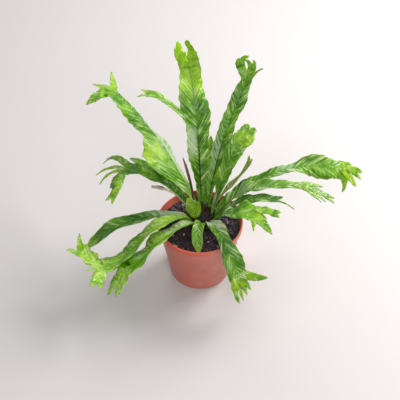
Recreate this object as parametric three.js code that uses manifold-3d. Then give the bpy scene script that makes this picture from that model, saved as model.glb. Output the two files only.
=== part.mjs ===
// Potted crested fern in a tapered terracotta-coloured plastic pot, millimetres, +Z up.
// The origin is the middle of the pot's underside. The front of the plant faces -Y.
import * as THREE from "three";
import { mergeVertices } from "three/addons/utils/BufferGeometryUtils.js";
import Module from "manifold-3d";

const wasm = await Module();
wasm.setup();

// Driving dimensions of the pot
const POT_HEIGHT = 100;
const RIM_RADIUS = 60;
const BASE_RADIUS = 42;
const WALL = 1.8;
const LIP_HEIGHT = 8;
const LIP_STEP = 1.4;
const FLOOR_TOP = 3.4;
const FOOT_RECESS = 1.5;
const FOOT_INNER_RADIUS = 36;
const PAD_RADIUS = 12;
const EDGE_ROUND = 1.2;
const DRAIN_COUNT = 6;
const DRAIN_RADIUS = 4;
const DRAIN_CIRCLE = 24;
const POT_SIDES = 48;

// Driving dimensions of the potting mix and the crown
const GAP = 0.35;
const SOIL_TOP = 90;
const SOIL_RINGS = 7;
const SOIL_LUMP = 1.1;
const CROWN_MIDDLE = [4, 10];
const CROWN_RADIUS = 18;
const CROWN_FOOT = 78;
const CROWN_SHOULDER = 92.5;
const CROWN_TOP = 103;
const CROWN_SIDES = 32;
const STUB_RADIUS = 1.9;
const STUB_TOP = 124;

// Driving dimensions that every frond shares
const SEAT_HEIGHT = 84;
const STEM_RISE = 80;
const STEM_BEND = 32;
const STEM_LENGTH = 10;
const SHORT_BEAT = 28; // the ruffle's wavelength, where a frond gives none of its own
const BLADE_OPENS = 20;
const BLADE_THICKNESS = 0.9;
const ROW_STEP = 7;
const LOBE_STEP = 6;
const WIDE_BLADE = 6;
const SOCKET_LENGTH = 34;
const SOCKET_CLEARANCE = 0.75;

const GREEN = { bright: 0x7fb02a, mid: 0x4f8a24, dark: 0x35651f, dry: 0x6b5a34 };
const STEM_RIB = [3, 2.2, 1.6, 1.3, 1.2];

// One lobe of a crest: its share of the edge that it grows from, degrees that it turns to the left
// at its root, length and widest half-width, then degrees of lift, of twist and of hook towards the
// tip, and the lobes that it forks into
function lobe(share, turn, length, width, { lift = 0, twist = 0, hook = 0, lobes = [] } = {}) {
  return { share, turn, length, width, lift, twist, hook, lobes };
}

// The fronds. seat is the azimuth and radius at which a stem stands in the crown. The lists are
// stations at equal steps from foot to tip: pitch is degrees above level, yaw the azimuth, roll the
// turn about the midrib, keel the fold of the two halves, width the half-width, rib its thickness.
// ruffle is the height of the waves along the edge and beat their length. uneven widens the left
// half and narrows the right one. A crest's lobes run from left to right.
const FRONDS = [
  {
    name: "frond_back_tall", colour: GREEN.mid, seat: [104, 8], length: 226,
    pitch: [80, 80, 76, 66, 48, 42], yaw: [98, 98, 99, 102, 101],
    width: [1.7, 4.5, 8, 12.5, 15.5, 17.5, 18.5, 17.5, 14.5], ruffle: 3.2, beat: 64, uneven: 0.06,
    lobes: [
      lobe(1, 27, 24, 9, {
        lift: 35, twist: 30, lobes: [lobe(1, 28, 13, 3.5, { lift: 40 }), lobe(1, -16, 13, 4)],
      }),
      lobe(1, -14, 22, 8.5, {
        lift: 40, twist: -20, lobes: [lobe(1, 10, 15, 4.5), lobe(1, -32, 14, 4, { lift: 40 })],
      }),
    ],
  },
  {
    name: "frond_back_thin", colour: GREEN.bright, seat: [90, 15], length: 206,
    pitch: [66, 63, 63, 63, 60, 52, 36, 24, 24, 4],
    yaw: [101, 101, 102, 103, 105, 110, 129, 150, 150, 172],
    width: [1.7, 2.5, 3.5, 4, 4.5, 5, 5, 5, 7], ruffle: 1.4,
    lobes: [lobe(1, 25, 16, 3, { lift: -20 }), lobe(1, -30, 13, 2.5)],
  },
  {
    name: "frond_right_tall", colour: GREEN.mid, seat: [62, 11.5], length: 206,
    pitch: [73, 71, 66, 55, 44, 38], yaw: [62, 60, 58, 60],
    width: [1.7, 4, 8, 10.5, 11.5, 12, 11, 10], ruffle: 3.2, beat: 48,
    lobes: [
      lobe(1.3, 46, 20, 6, {
        lift: 25, lobes: [lobe(1, 20, 18, 3.5, { lift: 60, hook: -130 }), lobe(1, -30, 20, 4, { hook: -90 })],
      }),
      lobe(1.2, -8, 18, 6, {
        lift: 25, lobes: [lobe(1, 24, 18, 3.5, { lift: 50, hook: 70 }), lobe(1, -24, 16, 4, { hook: 90 })],
      }),
      lobe(0.8, -14, 32, 2.5, { lift: 10, hook: -70 }),
    ],
  },
  {
    name: "frond_right_bright", colour: GREEN.bright, seat: [4, 9.5], length: 128,
    pitch: [73, 74, 75, 61, 32], yaw: [6, 27, 46, 50],
    width: [1.7, 4, 6.5, 9.5, 12, 12], ruffle: 3, beat: 44,
    lobes: [
      lobe(1.4, -14, 26, 9, { lobes: [lobe(1, 14, 9, 4.5), lobe(1, -30, 12, 5)] }),
      lobe(1, -44, 32, 5.5, { lift: -40, hook: 110 }),
    ],
  },
  {
    name: "frond_right_long", colour: GREEN.mid, seat: [18, 14.5], length: 216,
    pitch: [52, 43, 30, 13, -10, -28], yaw: [15, 13, 10, 9],
    roll: [0, 4, 8, 8, 2, 0, 10, 42, 42, 32], keel: [50, 30, 18, 12, 5, 0],
    width: [1.7, 4.5, 8, 10, 9.5, 7.5, 8, 14.5, 15.5, 14], ruffle: 3, beat: 48,
    lobes: [
      lobe(1, -10, 28, 6.5, { lift: -10, lobes: [lobe(1, 10, 12, 3.5), lobe(1, -22, 14, 3.5)] }),
      lobe(1, -30, 38, 6.5, { lift: -20 }),
      lobe(0.8, -50, 34, 5, { lift: -60, hook: -20 }),
    ],
  },
  {
    name: "frond_right_mid", colour: GREEN.bright, seat: [-6, 14], length: 152,
    pitch: [62, 55, 36, 6, -6], yaw: [0, 0, 0],
    width: [1.7, 4.5, 8, 10.5, 10, 8, 6], ruffle: 2.2, uneven: 0.2,
    lobes: [
      lobe(1, -2, 36, 4, { lift: -10 }),
      lobe(1, -18, 42, 4.5, { lift: -20, lobes: [lobe(1, 16, 12, 2.5), lobe(1, -14, 14, 2.5)] }),
      lobe(1, -30, 44, 4, { lift: -20 }),
      lobe(1, -46, 38, 3, { lift: -30, hook: 20 }),
    ],
  },
  {
    name: "frond_right_dark", colour: GREEN.dark, seat: [-30, 14], length: 118,
    pitch: [56, 53, 43, 18, 0], yaw: [-9, -10, -6],
    width: [1.7, 3.2, 5, 8, 8.5, 6], ruffle: 2,
    lobes: [lobe(1.2, 24, 12, 3), lobe(1, -14, 30, 1.6, { lift: -40 })],
  },
  {
    name: "frond_right_low", colour: GREEN.dark, seat: [-46, 14], length: 99,
    pitch: [57, 53, 37, 10], yaw: [-48, -38, -24],
    width: [1.7, 3.8, 8.5, 14, 16], ruffle: 3, uneven: 0.2,
    lobes: [
      lobe(1.1, 2, 26, 7, { lift: -10, lobes: [lobe(1, 16, 10, 4), lobe(1, -30, 12, 4)] }),
      lobe(0.7, -12, 22, 4, { lift: -30 }),
      lobe(1.1, -34, 44, 7, { lift: -20 }),
      lobe(0.7, -70, 26, 3.5, { lift: -40 }),
    ],
  },
  {
    name: "frond_right_dry", colour: GREEN.dry, seat: [42, 14], length: 100,
    pitch: [62, 58, 47, 40, 48, 58], yaw: [34, 30, 26, 24],
    width: [1.3, 1.3, 1.6, 5, 2.2, 4.5], rib: [2.2, 1.8, 1.3], ruffle: 2.6, beat: 22,
    lobes: [lobe(1, 38, 13, 3, { lift: 20 }), lobe(1, -26, 15, 3, { lift: 30 })],
  },
  {
    name: "frond_front_hanging", colour: GREEN.mid, seat: [-70, 14], length: 122,
    pitch: [72, 50, 12, -28, -52, -62], yaw: [-70, -62, -55],
    width: [1.7, 5.6, 10, 11.5, 12.5, 18], ruffle: 3, beat: 44,
    lobes: [
      lobe(1.2, 48, 46, 6.5, { lift: 15, hook: 20 }),
      lobe(1, 12, 22, 6.5, { lift: 5, lobes: [lobe(1, 20, 12, 3), lobe(1, -12, 14, 3)] }),
      lobe(0.8, -4, 42, 3.5, { lift: 10 }),
      lobe(1.2, -18, 40, 6.5, { lift: 10, hook: 24 }),
    ],
  },
  {
    name: "frond_front_strap", colour: GREEN.mid, seat: [-90, 12.5], length: 73,
    pitch: [84, 60, -1, -39, -26], yaw: [-90, -112, -103, -86, -80],
    width: [1.7, 7, 8.8, 8.2, 7.6, 7.4], ruffle: 1, lobes: [],
  },
  {
    name: "frond_left_upper", colour: GREEN.mid, seat: [-150, 14], length: 166,
    pitch: [58, 24, -18, -38, -30, 15], yaw: [-154, -154, -152, -154], roll: [0, 4, 18, 22, 12],
    width: [1.7, 6, 10.5, 13.5, 15, 15.5, 15], ruffle: 2.6, beat: 48, uneven: 0.08,
    lobes: [
      lobe(1.2, 55, 35, 9, { lobes: [lobe(1, 20, 14, 4), lobe(1, -14, 16, 3.5)] }),
      lobe(0.7, 8, 28, 4, { lift: 10 }),
      lobe(1.4, -56, 34, 11.5, {
        lift: 15, lobes: [lobe(1, 18, 18, 4, { hook: 40 }), lobe(1, -44, 24, 3.5, { lift: 20 })],
      }),
    ],
  },
  {
    name: "frond_left_lower", colour: GREEN.bright, seat: [-127, 14], length: 128,
    pitch: [45, 11, -16, -33, -28], yaw: [-134, -143, -147, -149], roll: [0, 8, 22, 26, 16],
    width: [1.7, 6.5, 13, 16, 16], ruffle: 2.6, beat: 42, uneven: -0.12,
    lobes: [
      lobe(1.2, 48, 44, 7.5, { lift: -10 }),
      lobe(1, 20, 30, 7, { lift: -14, lobes: [lobe(1, 26, 20, 3.5), lobe(1, -4, 22, 4)] }),
    ],
  },
  {
    name: "frond_left_arched", colour: GREEN.dark, seat: [191, 14], length: 174,
    pitch: [30, 7, 2, -9, -32, -50], yaw: [182, 191, 196, 197],
    width: [1.7, 5, 8, 10, 11.5, 10.5, 8], ruffle: 1.8, beat: 56, lobes: [],
  },
  {
    name: "frond_left_hand", colour: GREEN.mid, seat: [152, 14], length: 126,
    pitch: [48, 51, 42, 14, -8], yaw: [158, 160, 160],
    width: [1.7, 4.8, 9, 10, 11], ruffle: 2.5, beat: 36, uneven: 0.1,
    lobes: [
      lobe(1.2, 109, 46, 5.5, { lift: -20, hook: -30, lobes: [lobe(1, 26, 14, 3), lobe(1, -30, 13, 3)] }),
      lobe(1, 48, 32, 5, { lift: -60, lobes: [lobe(1, 20, 10, 3), lobe(1, -20, 10, 3)] }),
      lobe(1, 8, 52, 3.5, { lift: -40, hook: 60 }),
      lobe(1, -10, 58, 3.5, { lift: -30, hook: 50 }),
      lobe(1.3, -31, 42, 5, {
        lift: -30, lobes: [lobe(1, 28, 28, 3, { lift: -30 }), lobe(1, 2, 28, 3, { lift: -20, hook: 30 })],
      }),
    ],
  },
  {
    name: "frond_left_dark", colour: GREEN.dark, seat: [132, 14], length: 138,
    pitch: [44, 34, 23, 6, -10], yaw: [144, 145, 144],
    width: [1.7, 3.5, 5, 6, 6, 5], ruffle: 1.5, lobes: [],
  },
  {
    name: "frond_back_left", colour: GREEN.bright, seat: [112, 14], length: 232,
    pitch: [52, 50, 43, 17, 5, 5], yaw: [137, 134, 128.5, 127], roll: [0, 15, 25, 25, 20, 10],
    keel: [40, 5, -10, -10, 0], width: [1.7, 5.5, 14, 24, 22.5, 14.5, 11.5, 10.5, 9],
    ruffle: 4.2, beat: 88, uneven: 0.44,
    lobes: [
      lobe(0.7, 122, 24, 4, { lift: -30 }),
      lobe(1.6, 88, 46, 9.5, { lift: -35 }),
      lobe(1, 34, 38, 5.5, { lift: -10 }),
      lobe(1, -26, 44, 5.5, { lift: 16 }),
    ],
  },
  {
    name: "stem_knobbed", colour: GREEN.dry, seat: [177, 14], length: 94,
    pitch: [68, 67, 56, 18, -4], yaw: [174, 169, 165],
    width: [1.2, 1.2, 1.2, 1.1, 1.1, 1.1, 1.2, 4.2, 4], rib: [2.2, 2, 2, 2, 2, 2, 2, 5, 5], ruffle: 0,
    lobes: [],
  },
  {
    name: "frond_dry_upright", colour: GREEN.dry, seat: [172, 7.5], length: 121,
    pitch: [82, 83, 82, 78, 74], yaw: [172, 160, 150],
    width: [1.3, 2, 3, 3, 2], rib: [2.2, 1.8, 1.4, 1.2], ruffle: 1, lobes: [],
  },
  {
    name: "frond_young", colour: GREEN.bright, seat: [228, 7], length: 56,
    pitch: [80, 74, 60], yaw: [176, 172, 162], roll: [-50, -60, -58], keel: [45, 25, 15],
    width: [1.5, 5.5, 9.5, 10.5, 9], ruffle: 2, lobes: [],
  },
  {
    name: "frond_back_hidden", colour: GREEN.mid, seat: [71, 15], length: 116,
    pitch: [66, 60, 52, 46, 50], yaw: [86, 85, 82],
    width: [1.7, 4, 6, 7, 7, 6], ruffle: 2, lobes: [],
  },
];

const radians = THREE.MathUtils.degToRad;
const lerp = THREE.MathUtils.lerp;

function ease(x) {
  const t = THREE.MathUtils.clamp(x, 0, 1);
  return t * t * (3 - 2 * t);
}

// A number from 0 to 1 that looks random and is the same each time for the same two integers
function chance(seed, index) {
  const wild = Math.abs(Math.sin(12.9898 * seed + 78.233 * index)) * 43758.5453;
  return wild - Math.floor(wild);
}

// A smooth curve through equally spaced stations, at s from 0 to 1
function stations(values, s) {
  const last = values.length - 1;
  if (last === 0) return values[0];
  const x = THREE.MathUtils.clamp(s, 0, 1) * last;
  const i = Math.min(Math.floor(x), last - 1);
  const t = x - i;
  const [a, b, c, d] = [i - 1, i, i + 1, i + 2].map((k) => values[THREE.MathUtils.clamp(k, 0, last)]);
  const square = 2 * a - 5 * b + 4 * c - d;
  const cube = 3 * b - 3 * c + d - a;
  return 0.5 * (2 * b + (c - a) * t + square * t ** 2 + cube * t ** 3);
}

// Along, left and up at the given degrees of pitch, yaw and roll within a frame of three directions
function directions([x, y, z], [pitch, yaw, roll]) {
  const [p, w, r] = [radians(pitch), radians(yaw), radians(roll)];
  const along = x.clone().multiplyScalar(Math.cos(p) * Math.cos(w));
  along.addScaledVector(y, Math.cos(p) * Math.sin(w)).addScaledVector(z, Math.sin(p));
  const level = y.clone().multiplyScalar(Math.cos(w)).addScaledVector(x, -Math.sin(w));
  const lift = along.clone().cross(level);
  const left = level.clone().multiplyScalar(Math.cos(r)).addScaledVector(lift, Math.sin(r));
  const up = lift.clone().multiplyScalar(Math.cos(r)).addScaledVector(level, -Math.sin(r));
  return { along, left, up };
}

// Follows the direction that angles(s) gives, in steps of about 1 mm, and stops at each distance
function walk(start, frame, length, angles, stops) {
  const count = Math.ceil(length);
  const path = [start.clone()];
  for (let k = 0; k < count; k += 1) {
    const { along } = directions(frame, angles((k + 0.5) / count));
    path.push(path[k].clone().addScaledVector(along, length / count));
  }
  return stops.map((at) => {
    const x = (at / length) * count;
    const k = Math.min(Math.floor(x), count - 1);
    const middle = path[k].clone().lerp(path[k + 1], x - k);
    return { at, middle, ...directions(frame, angles(at / length)) };
  });
}

function evenly(length, step) {
  const count = Math.max(2, Math.round(length / step));
  return Array.from({ length: count + 1 }, (_, k) => (length * k) / count);
}

// Columns across a row, from 1 at the left edge through 0 at the midrib to -1 at the right edge
function columns(halves) {
  return Array.from({ length: 2 * halves + 1 }, (_, k) => 1 - k / halves);
}

// A thin sheet of triangles between rows of points, made solid by a thickness at each point
class Sheet {
  constructor() {
    this.points = [];
    this.halves = [];
    this.faces = [];
  }

  row(places) {
    return places.map(({ point, half, v }) => {
      this.points.push(point);
      this.halves.push(half);
      return { index: this.points.length - 1, v };
    });
  }

  zip(near, far) {
    let [i, j] = [0, 0];
    while (i < near.length - 1 || j < far.length - 1) {
      const nearNext = i < near.length - 1;
      const farNext = j < far.length - 1;
      if (nearNext && (!farNext || near[i + 1].v >= far[j + 1].v - 1e-9)) {
        this.faces.push([near[i].index, near[i + 1].index, far[j].index]);
        i += 1;
      } else {
        this.faces.push([near[i].index, far[j + 1].index, far[j].index]);
        j += 1;
      }
    }
  }

  // Both faces carry the same triangles, and a wall closes every edge that only one triangle has
  geometry() {
    const normals = this.points.map(() => new THREE.Vector3());
    const edges = new Set();
    for (const face of this.faces) {
      const [a, b, c] = face.map((k) => this.points[k]);
      const normal = b.clone().sub(a).cross(c.clone().sub(a));
      face.forEach((k, n) => {
        normals[k].add(normal);
        edges.add(`${k},${face[(n + 1) % 3]}`);
      });
    }
    const positions = [];
    for (const side of [1, -1]) {
      this.points.forEach((point, k) => {
        const place = point.clone().addScaledVector(normals[k].normalize(), side * this.halves[k]);
        positions.push(place.x, place.y, place.z);
      });
    }
    const under = this.points.length;
    const index = [];
    for (const [a, b, c] of this.faces) index.push(a, b, c, under + a, under + c, under + b);
    for (const edge of edges) {
      const [p, q] = edge.split(",").map(Number);
      if (!edges.has(`${q},${p}`)) index.push(q, p, under + p, q, under + p, under + q);
    }
    const geometry = new THREE.BufferGeometry();
    geometry.setAttribute("position", new THREE.Float32BufferAttribute(positions, 3));
    geometry.setIndex(index);
    return geometry;
  }
}

// One frond: a stem and blade of rows along its midrib, and a crest of forked lobes at its end
class Frond {
  constructor(form, seed) {
    this.form = form;
    this.phases = Array.from({ length: 16 }, (_, k) => 2 * Math.PI * chance(seed, k));
    this.sheet = new Sheet();
    const azimuth = radians(form.seat[0]);
    this.foot = new THREE.Vector3(
      CROWN_MIDDLE[0] + form.seat[1] * Math.cos(azimuth),
      CROWN_MIDDLE[1] + form.seat[1] * Math.sin(azimuth),
      SEAT_HEIGHT,
    );
    this.frame = [new THREE.Vector3(1, 0, 0), new THREE.Vector3(0, 1, 0), new THREE.Vector3(0, 0, 1)];
  }

  // Every stem leaves the crown steeply and bends to the first station's pitch
  angles(s) {
    const { pitch, yaw, roll = [0], length } = this.form;
    const steeper = (1 - ease((s * length) / STEM_BEND)) * (STEM_RISE - pitch[0]);
    return [stations(pitch, s) + steeper, stations(yaw, s), stations(roll, s)];
  }

  halfWidth(at) {
    const { width, length } = this.form;
    const opened = ease((at - STEM_LENGTH) / BLADE_OPENS);
    return lerp(width[0], stations(width, at / length), opened);
  }

  ribThickness(at) {
    return stations(this.form.rib ?? STEM_RIB, at / this.form.length);
  }

  // One point of the blade: the edge is scalloped, ruffled in long waves and folded at the midrib.
  // The waves are counted back from the end, so that a longer beat leaves the crest as it is
  bladePlace({ at, middle, left, up }, v, margin = 0) {
    const { keel = [55, 35, 20, 12], ruffle, beat = SHORT_BEAT, uneven = 0, length, lobes } = this.form;
    const side = v >= 0 ? 1 : -1;
    const plain = this.halfWidth(at) * (1 + side * uneven);
    const grown = ease((plain - 3) / 6);
    const phase = this.phases[side > 0 ? 0 : 1];
    const turn = 2 * Math.PI * at;
    const toEnd = (2 * Math.PI * (at - length)) / beat;
    const end = 2 * Math.PI * length;
    const long = Math.sin(0.85 * toEnd + end / 33 + phase);
    const scallop = 0.033 * ruffle * (long + 0.5 * Math.sin(turn / 14 + 2 * phase));
    const closing = lobes.length ? 1 : THREE.MathUtils.clamp((length - at) / 14, 0, 1) ** 0.6;
    const width = plain * (1 + grown * scallop) * closing;
    const y = Math.abs(v) * (width + margin);
    const height = ruffle * grown * Math.min(1, width / 12) * Math.abs(v) ** 1.5;
    const sway = (end - Math.PI * y) / SHORT_BEAT + this.phases[side > 0 ? 2 : 3];
    const wave = height * Math.sin(toEnd + sway);
    const fold = radians(stations(keel, at / length));
    const point = middle.clone().addScaledVector(left, side * y * Math.cos(fold));
    return point.addScaledVector(up, y * Math.sin(fold) + wave);
  }

  stemStops() {
    return evenly(this.form.length, ROW_STEP);
  }

  blade() {
    const { length, lobes, width } = this.form;
    const spine = walk(this.foot, this.frame, length, (s) => this.angles(s), this.stemStops());
    const broad = Math.max(...width) > WIDE_BLADE;
    const splits = lobes.length ? [...this.cuts(lobes, 1, -1), -1] : [0];
    let before = null;
    spine.forEach((stop, k) => {
      const tip = k === spine.length - 1;
      const wide = broad && this.halfWidth(stop.at) > WIDE_BLADE - 2;
      let across = columns(wide ? 2 : 1);
      if (tip) across = splits;
      const row = this.sheet.row(across.map((v) => ({
        point: this.bladePlace(stop, v),
        half: (Math.abs(v) < 0.01 ? this.ribThickness(stop.at) : BLADE_THICKNESS) / 2,
        v,
      })));
      if (before) this.sheet.zip(before, row);
      before = row;
    });
    if (lobes.length) this.split(before, spine.at(-1).along, lobes, 0);
  }

  // How many pairs of columns a crest needs, so that each lobe has a middle of its own
  leaves(lobes) {
    return lobes.reduce((sum, each) => sum + (each.lobes.length ? this.leaves(each.lobes) : 1), 0);
  }

  // The start and the middle of each unforked lobe across an edge, by the shares of the lobes
  cuts(lobes, from, to) {
    const whole = lobes.reduce((sum, each) => sum + each.share, 0);
    let start = from;
    return lobes.flatMap((each) => {
      const end = start + ((to - from) * each.share) / whole;
      const inner = each.lobes.length ? this.cuts(each.lobes, start, end) : [start, (start + end) / 2];
      start = end;
      return inner;
    });
  }

  // The end row is shared out among the lobes, and each grows on from its own stretch
  split(row, ahead, lobes, depth) {
    let first = 0;
    lobes.forEach((each, k) => {
      const last = first + 2 * (each.lobes.length ? this.leaves(each.lobes) : 1);
      this.grow(row.slice(first, last + 1), ahead, each, depth, k);
      first = last;
    });
  }

  grow(root, ahead, form, depth, order) {
    const { points } = this.sheet;
    const [left, right] = [points[root[0].index], points[root.at(-1).index]];
    const half = left.distanceTo(right) / 2;
    const across = left.clone().sub(right).normalize();
    const along = ahead.clone().addScaledVector(across, -ahead.dot(across)).normalize();
    const frame = [along, across, along.clone().cross(across)];
    const reach = Math.min(14, form.length);
    const heading = (s) => form.turn * ease((s * form.length) / reach) + form.hook * s ** 1.5;
    const angles = (s) => [form.lift * s ** 1.3, heading(s), form.twist * s];
    const stops = evenly(form.length, LOBE_STEP);
    const spine = walk(left.clone().lerp(right, 0.5), frame, form.length, angles, stops);
    const phase = this.phases[(4 + 3 * depth + order) % 16];
    const span = root[0].v - root.at(-1).v;
    const spread = root.map(({ v }) => 1 - (2 * (root[0].v - v)) / span);
    let before = root.map(({ index }, k) => ({ index, v: spread[k] }));
    let drift = null;
    spine.forEach((stop, k) => {
      const places = spread.map((v) => this.lobePlace(stop, v, half, form, phase));
      if (k === 0) {
        drift = places.map((place, n) => points[root[n].index].clone().sub(place));
        return;
      }
      const hold = 1 - ease(stop.at / 9);
      places.forEach((place, n) => place.addScaledVector(drift[n], hold));
      const tip = k === spine.length - 1 && !form.lobes.length;
      const chosen = tip ? [places[(places.length - 1) / 2]] : places;
      const row = this.sheet.row(chosen.map((point, n) => ({
        point, half: BLADE_THICKNESS / 2, v: tip ? 0 : spread[n],
      })));
      this.sheet.zip(before, row);
      before = row;
    });
    if (form.lobes.length) this.split(before, spine.at(-1).along, form.lobes, depth + 1);
  }

  // One point of a lobe: it widens from its root, tapers to its tip and waves at its edges
  lobePlace({ at, middle, left, up }, v, rootHalf, form, phase) {
    const s = at / form.length;
    const taper = form.lobes.length ? 1 : (1 - s ** 2.6) ** 0.75;
    const width = lerp(rootHalf, form.width, ease(at / Math.min(12, 0.7 * form.length))) * taper;
    const wave = this.form.ruffle > 0 ? 0.16 * width * ease(at / 10) : 0;
    const ripple = Math.sin((2 * Math.PI * at) / 17 + phase + (v > 0 ? 2.2 : 0));
    const height = wave * Math.abs(v) * ripple + 0.12 * width * Math.abs(v);
    return middle.clone().addScaledVector(left, v * width).addScaledVector(up, height);
  }

  // The plain hole that the stem stands in: its own outline with a clearance all round
  socket() {
    const { length } = this.form;
    const stops = this.stemStops().filter((at) => at < SOCKET_LENGTH);
    const spine = walk(this.foot, this.frame, length, (s) => this.angles(s), stops);
    const { middle, along } = spine[0];
    const under = { ...spine[0], middle: middle.clone().addScaledVector(along, -SOCKET_CLEARANCE) };
    const hole = new Sheet();
    let before = null;
    for (const stop of [under, ...spine]) {
      const row = hole.row(columns(1).map((v) => ({
        point: this.bladePlace(stop, v, SOCKET_CLEARANCE),
        half: (v === 0 ? this.ribThickness(stop.at) : BLADE_THICKNESS) / 2 + SOCKET_CLEARANCE,
        v,
      })));
      if (before) hole.zip(before, row);
      before = row;
    }
    return hole.geometry();
  }

  geometry() {
    this.blade();
    return this.sheet.geometry();
  }
}

// A closed geometry as a solid for joining and cutting
function solid(geometry) {
  const plain = geometry.clone();
  for (const name of ["normal", "uv"]) plain.deleteAttribute(name);
  const merged = mergeVertices(plain, 1e-4);
  const index = merged.index.array;
  const kept = [];
  for (let k = 0; k < index.length; k += 3) {
    const [a, b, c] = index.slice(k, k + 3);
    if (a !== b && b !== c && c !== a) kept.push(a, b, c);
  }
  return new wasm.Manifold(new wasm.Mesh({
    numProp: 3,
    vertProperties: new Float32Array(merged.attributes.position.array),
    triVerts: new Uint32Array(kept),
  }));
}

function backToGeometry(body) {
  const { vertProperties, triVerts, numProp } = body.getMesh();
  const positions = [];
  for (let k = 0; k < vertProperties.length; k += numProp) positions.push(...vertProperties.slice(k, k + 3));
  const geometry = new THREE.BufferGeometry();
  geometry.setAttribute("position", new THREE.Float32BufferAttribute(positions, 3));
  geometry.setIndex([...triVerts]);
  return geometry;
}

function turned(profile, sides) {
  const geometry = new THREE.LatheGeometry(profile.map(([r, z]) => new THREE.Vector2(r, z)), sides);
  return geometry.rotateX(Math.PI / 2);
}

// Inner radius of the pot's tapered wall at a height
function innerRadius(z) {
  return lerp(BASE_RADIUS, RIM_RADIUS - LIP_STEP, z / POT_HEIGHT) - WALL;
}

// The pot is turned from one profile, from the pad under its middle over the lip to its floor
function pot() {
  const lipFoot = POT_HEIGHT - LIP_HEIGHT;
  const body = solid(turned([
    [0, 0], [PAD_RADIUS, 0], [PAD_RADIUS + 1, FOOT_RECESS],
    [FOOT_INNER_RADIUS - 1, FOOT_RECESS], [FOOT_INNER_RADIUS, 0],
    [BASE_RADIUS - EDGE_ROUND, 0], [BASE_RADIUS + 0.1, EDGE_ROUND],
    [innerRadius(lipFoot) + WALL, lipFoot],
    [RIM_RADIUS - 0.4, lipFoot + 0.8],
    [RIM_RADIUS, POT_HEIGHT - 1.4], [RIM_RADIUS - 0.9, POT_HEIGHT],
    [RIM_RADIUS - 1.9, POT_HEIGHT], [RIM_RADIUS - 2.5, POT_HEIGHT - 1],
    [innerRadius(lipFoot - 2), lipFoot - 2],
    [innerRadius(FLOOR_TOP + 2), FLOOR_TOP + 2], [innerRadius(FLOOR_TOP) - 2, FLOOR_TOP],
    [0, FLOOR_TOP],
  ], POT_SIDES));
  const angles = Array.from({ length: DRAIN_COUNT }, (_, k) => (2 * Math.PI * k) / DRAIN_COUNT);
  return angles.reduce((cut, angle) => {
    const drill = new THREE.CylinderGeometry(DRAIN_RADIUS, DRAIN_RADIUS, 2 * FLOOR_TOP, 16);
    drill.rotateX(Math.PI / 2);
    drill.translate(DRAIN_CIRCLE * Math.cos(angle), DRAIN_CIRCLE * Math.sin(angle), FLOOR_TOP / 2);
    return cut.subtract(solid(drill));
  }, body);
}

// Height of the lumpy potting mix above its level, from crossed waves of unlike lengths
function lumps(x, y) {
  const broad = Math.sin(0.31 * x + 1.3 * Math.sin(0.17 * y)) * Math.cos(0.27 * y + 0.8);
  const small = Math.sin(0.83 * x - 0.41 * y + 2) * Math.sin(0.71 * y + 0.29 * x);
  return SOIL_LUMP * (0.7 * broad + 0.6 * small);
}

// The potting mix fills the pot to below its lip and has a plain round hole for the crown
function pottingMix() {
  const wallRadius = (z) => innerRadius(z) - GAP;
  const floor = FLOOR_TOP + GAP;
  const top = Array.from({ length: SOIL_RINGS + 1 }, (_, k) => [
    wallRadius(SOIL_TOP - 2) * (1 - k / SOIL_RINGS), SOIL_TOP,
  ]);
  const profile = [[0, floor], [wallRadius(floor) - 2.4, floor], [wallRadius(floor + 2.4), floor + 2.4],
    [wallRadius(SOIL_TOP - 6), SOIL_TOP - 6], ...top];
  const geometry = turned(profile, POT_SIDES);
  const places = geometry.attributes.position;
  for (let k = 0; k < places.count; k += 1) {
    if (places.getZ(k) < SOIL_TOP - 1) continue;
    places.setZ(k, SOIL_TOP + lumps(places.getX(k), places.getY(k)));
  }
  const hole = turned([
    [0, CROWN_FOOT - GAP], [CROWN_RADIUS + GAP, CROWN_FOOT - GAP],
    [CROWN_RADIUS + GAP, SOIL_TOP + 5], [0, SOIL_TOP + 5],
  ], CROWN_SIDES).translate(...CROWN_MIDDLE, 0);
  return solid(geometry).subtract(solid(hole));
}

// The crown is a scaly dome on a plain round foot, with the stub of an old stem and a hole per stem
function crown(fronds) {
  const steps = 6;
  const dome = Array.from({ length: steps + 1 }, (_, k) => {
    const angle = (Math.PI / 2) * (k / steps);
    return [CROWN_RADIUS * Math.cos(angle), lerp(CROWN_SHOULDER, CROWN_TOP, Math.sin(angle))];
  });
  const geometry = turned([[0, CROWN_FOOT], [CROWN_RADIUS, CROWN_FOOT], ...dome], CROWN_SIDES);
  const places = geometry.attributes.position;
  for (let k = 0; k < places.count; k += 1) {
    const [x, y, z] = [places.getX(k), places.getY(k), places.getZ(k)];
    if (z < CROWN_SHOULDER + 1) continue;
    const scale = 1 + 0.05 * Math.sin(0.9 * x + 0.5 * z) * Math.cos(0.8 * y - 0.4 * z);
    places.setXYZ(k, x * scale, y * scale, z + 0.8 * Math.sin(0.7 * x) * Math.sin(0.8 * y));
  }
  const height = STUB_TOP - CROWN_SHOULDER;
  const stub = new THREE.CylinderGeometry(0.7 * STUB_RADIUS, STUB_RADIUS, height, 8, 3);
  stub.rotateX(Math.PI / 2 - radians(4)).translate(0, 0, CROWN_SHOULDER + height / 2);
  const whole = solid(geometry).add(solid(stub)).translate([...CROWN_MIDDLE, 0]);
  return fronds.reduce((cut, frond) => cut.subtract(solid(frond.socket())), whole);
}

function named(name, geometry, colour, roughness) {
  const material = new THREE.MeshStandardMaterial({ color: colour, roughness, metalness: 0 });
  const mesh = new THREE.Mesh(geometry, material);
  mesh.name = name;
  return mesh;
}

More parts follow.
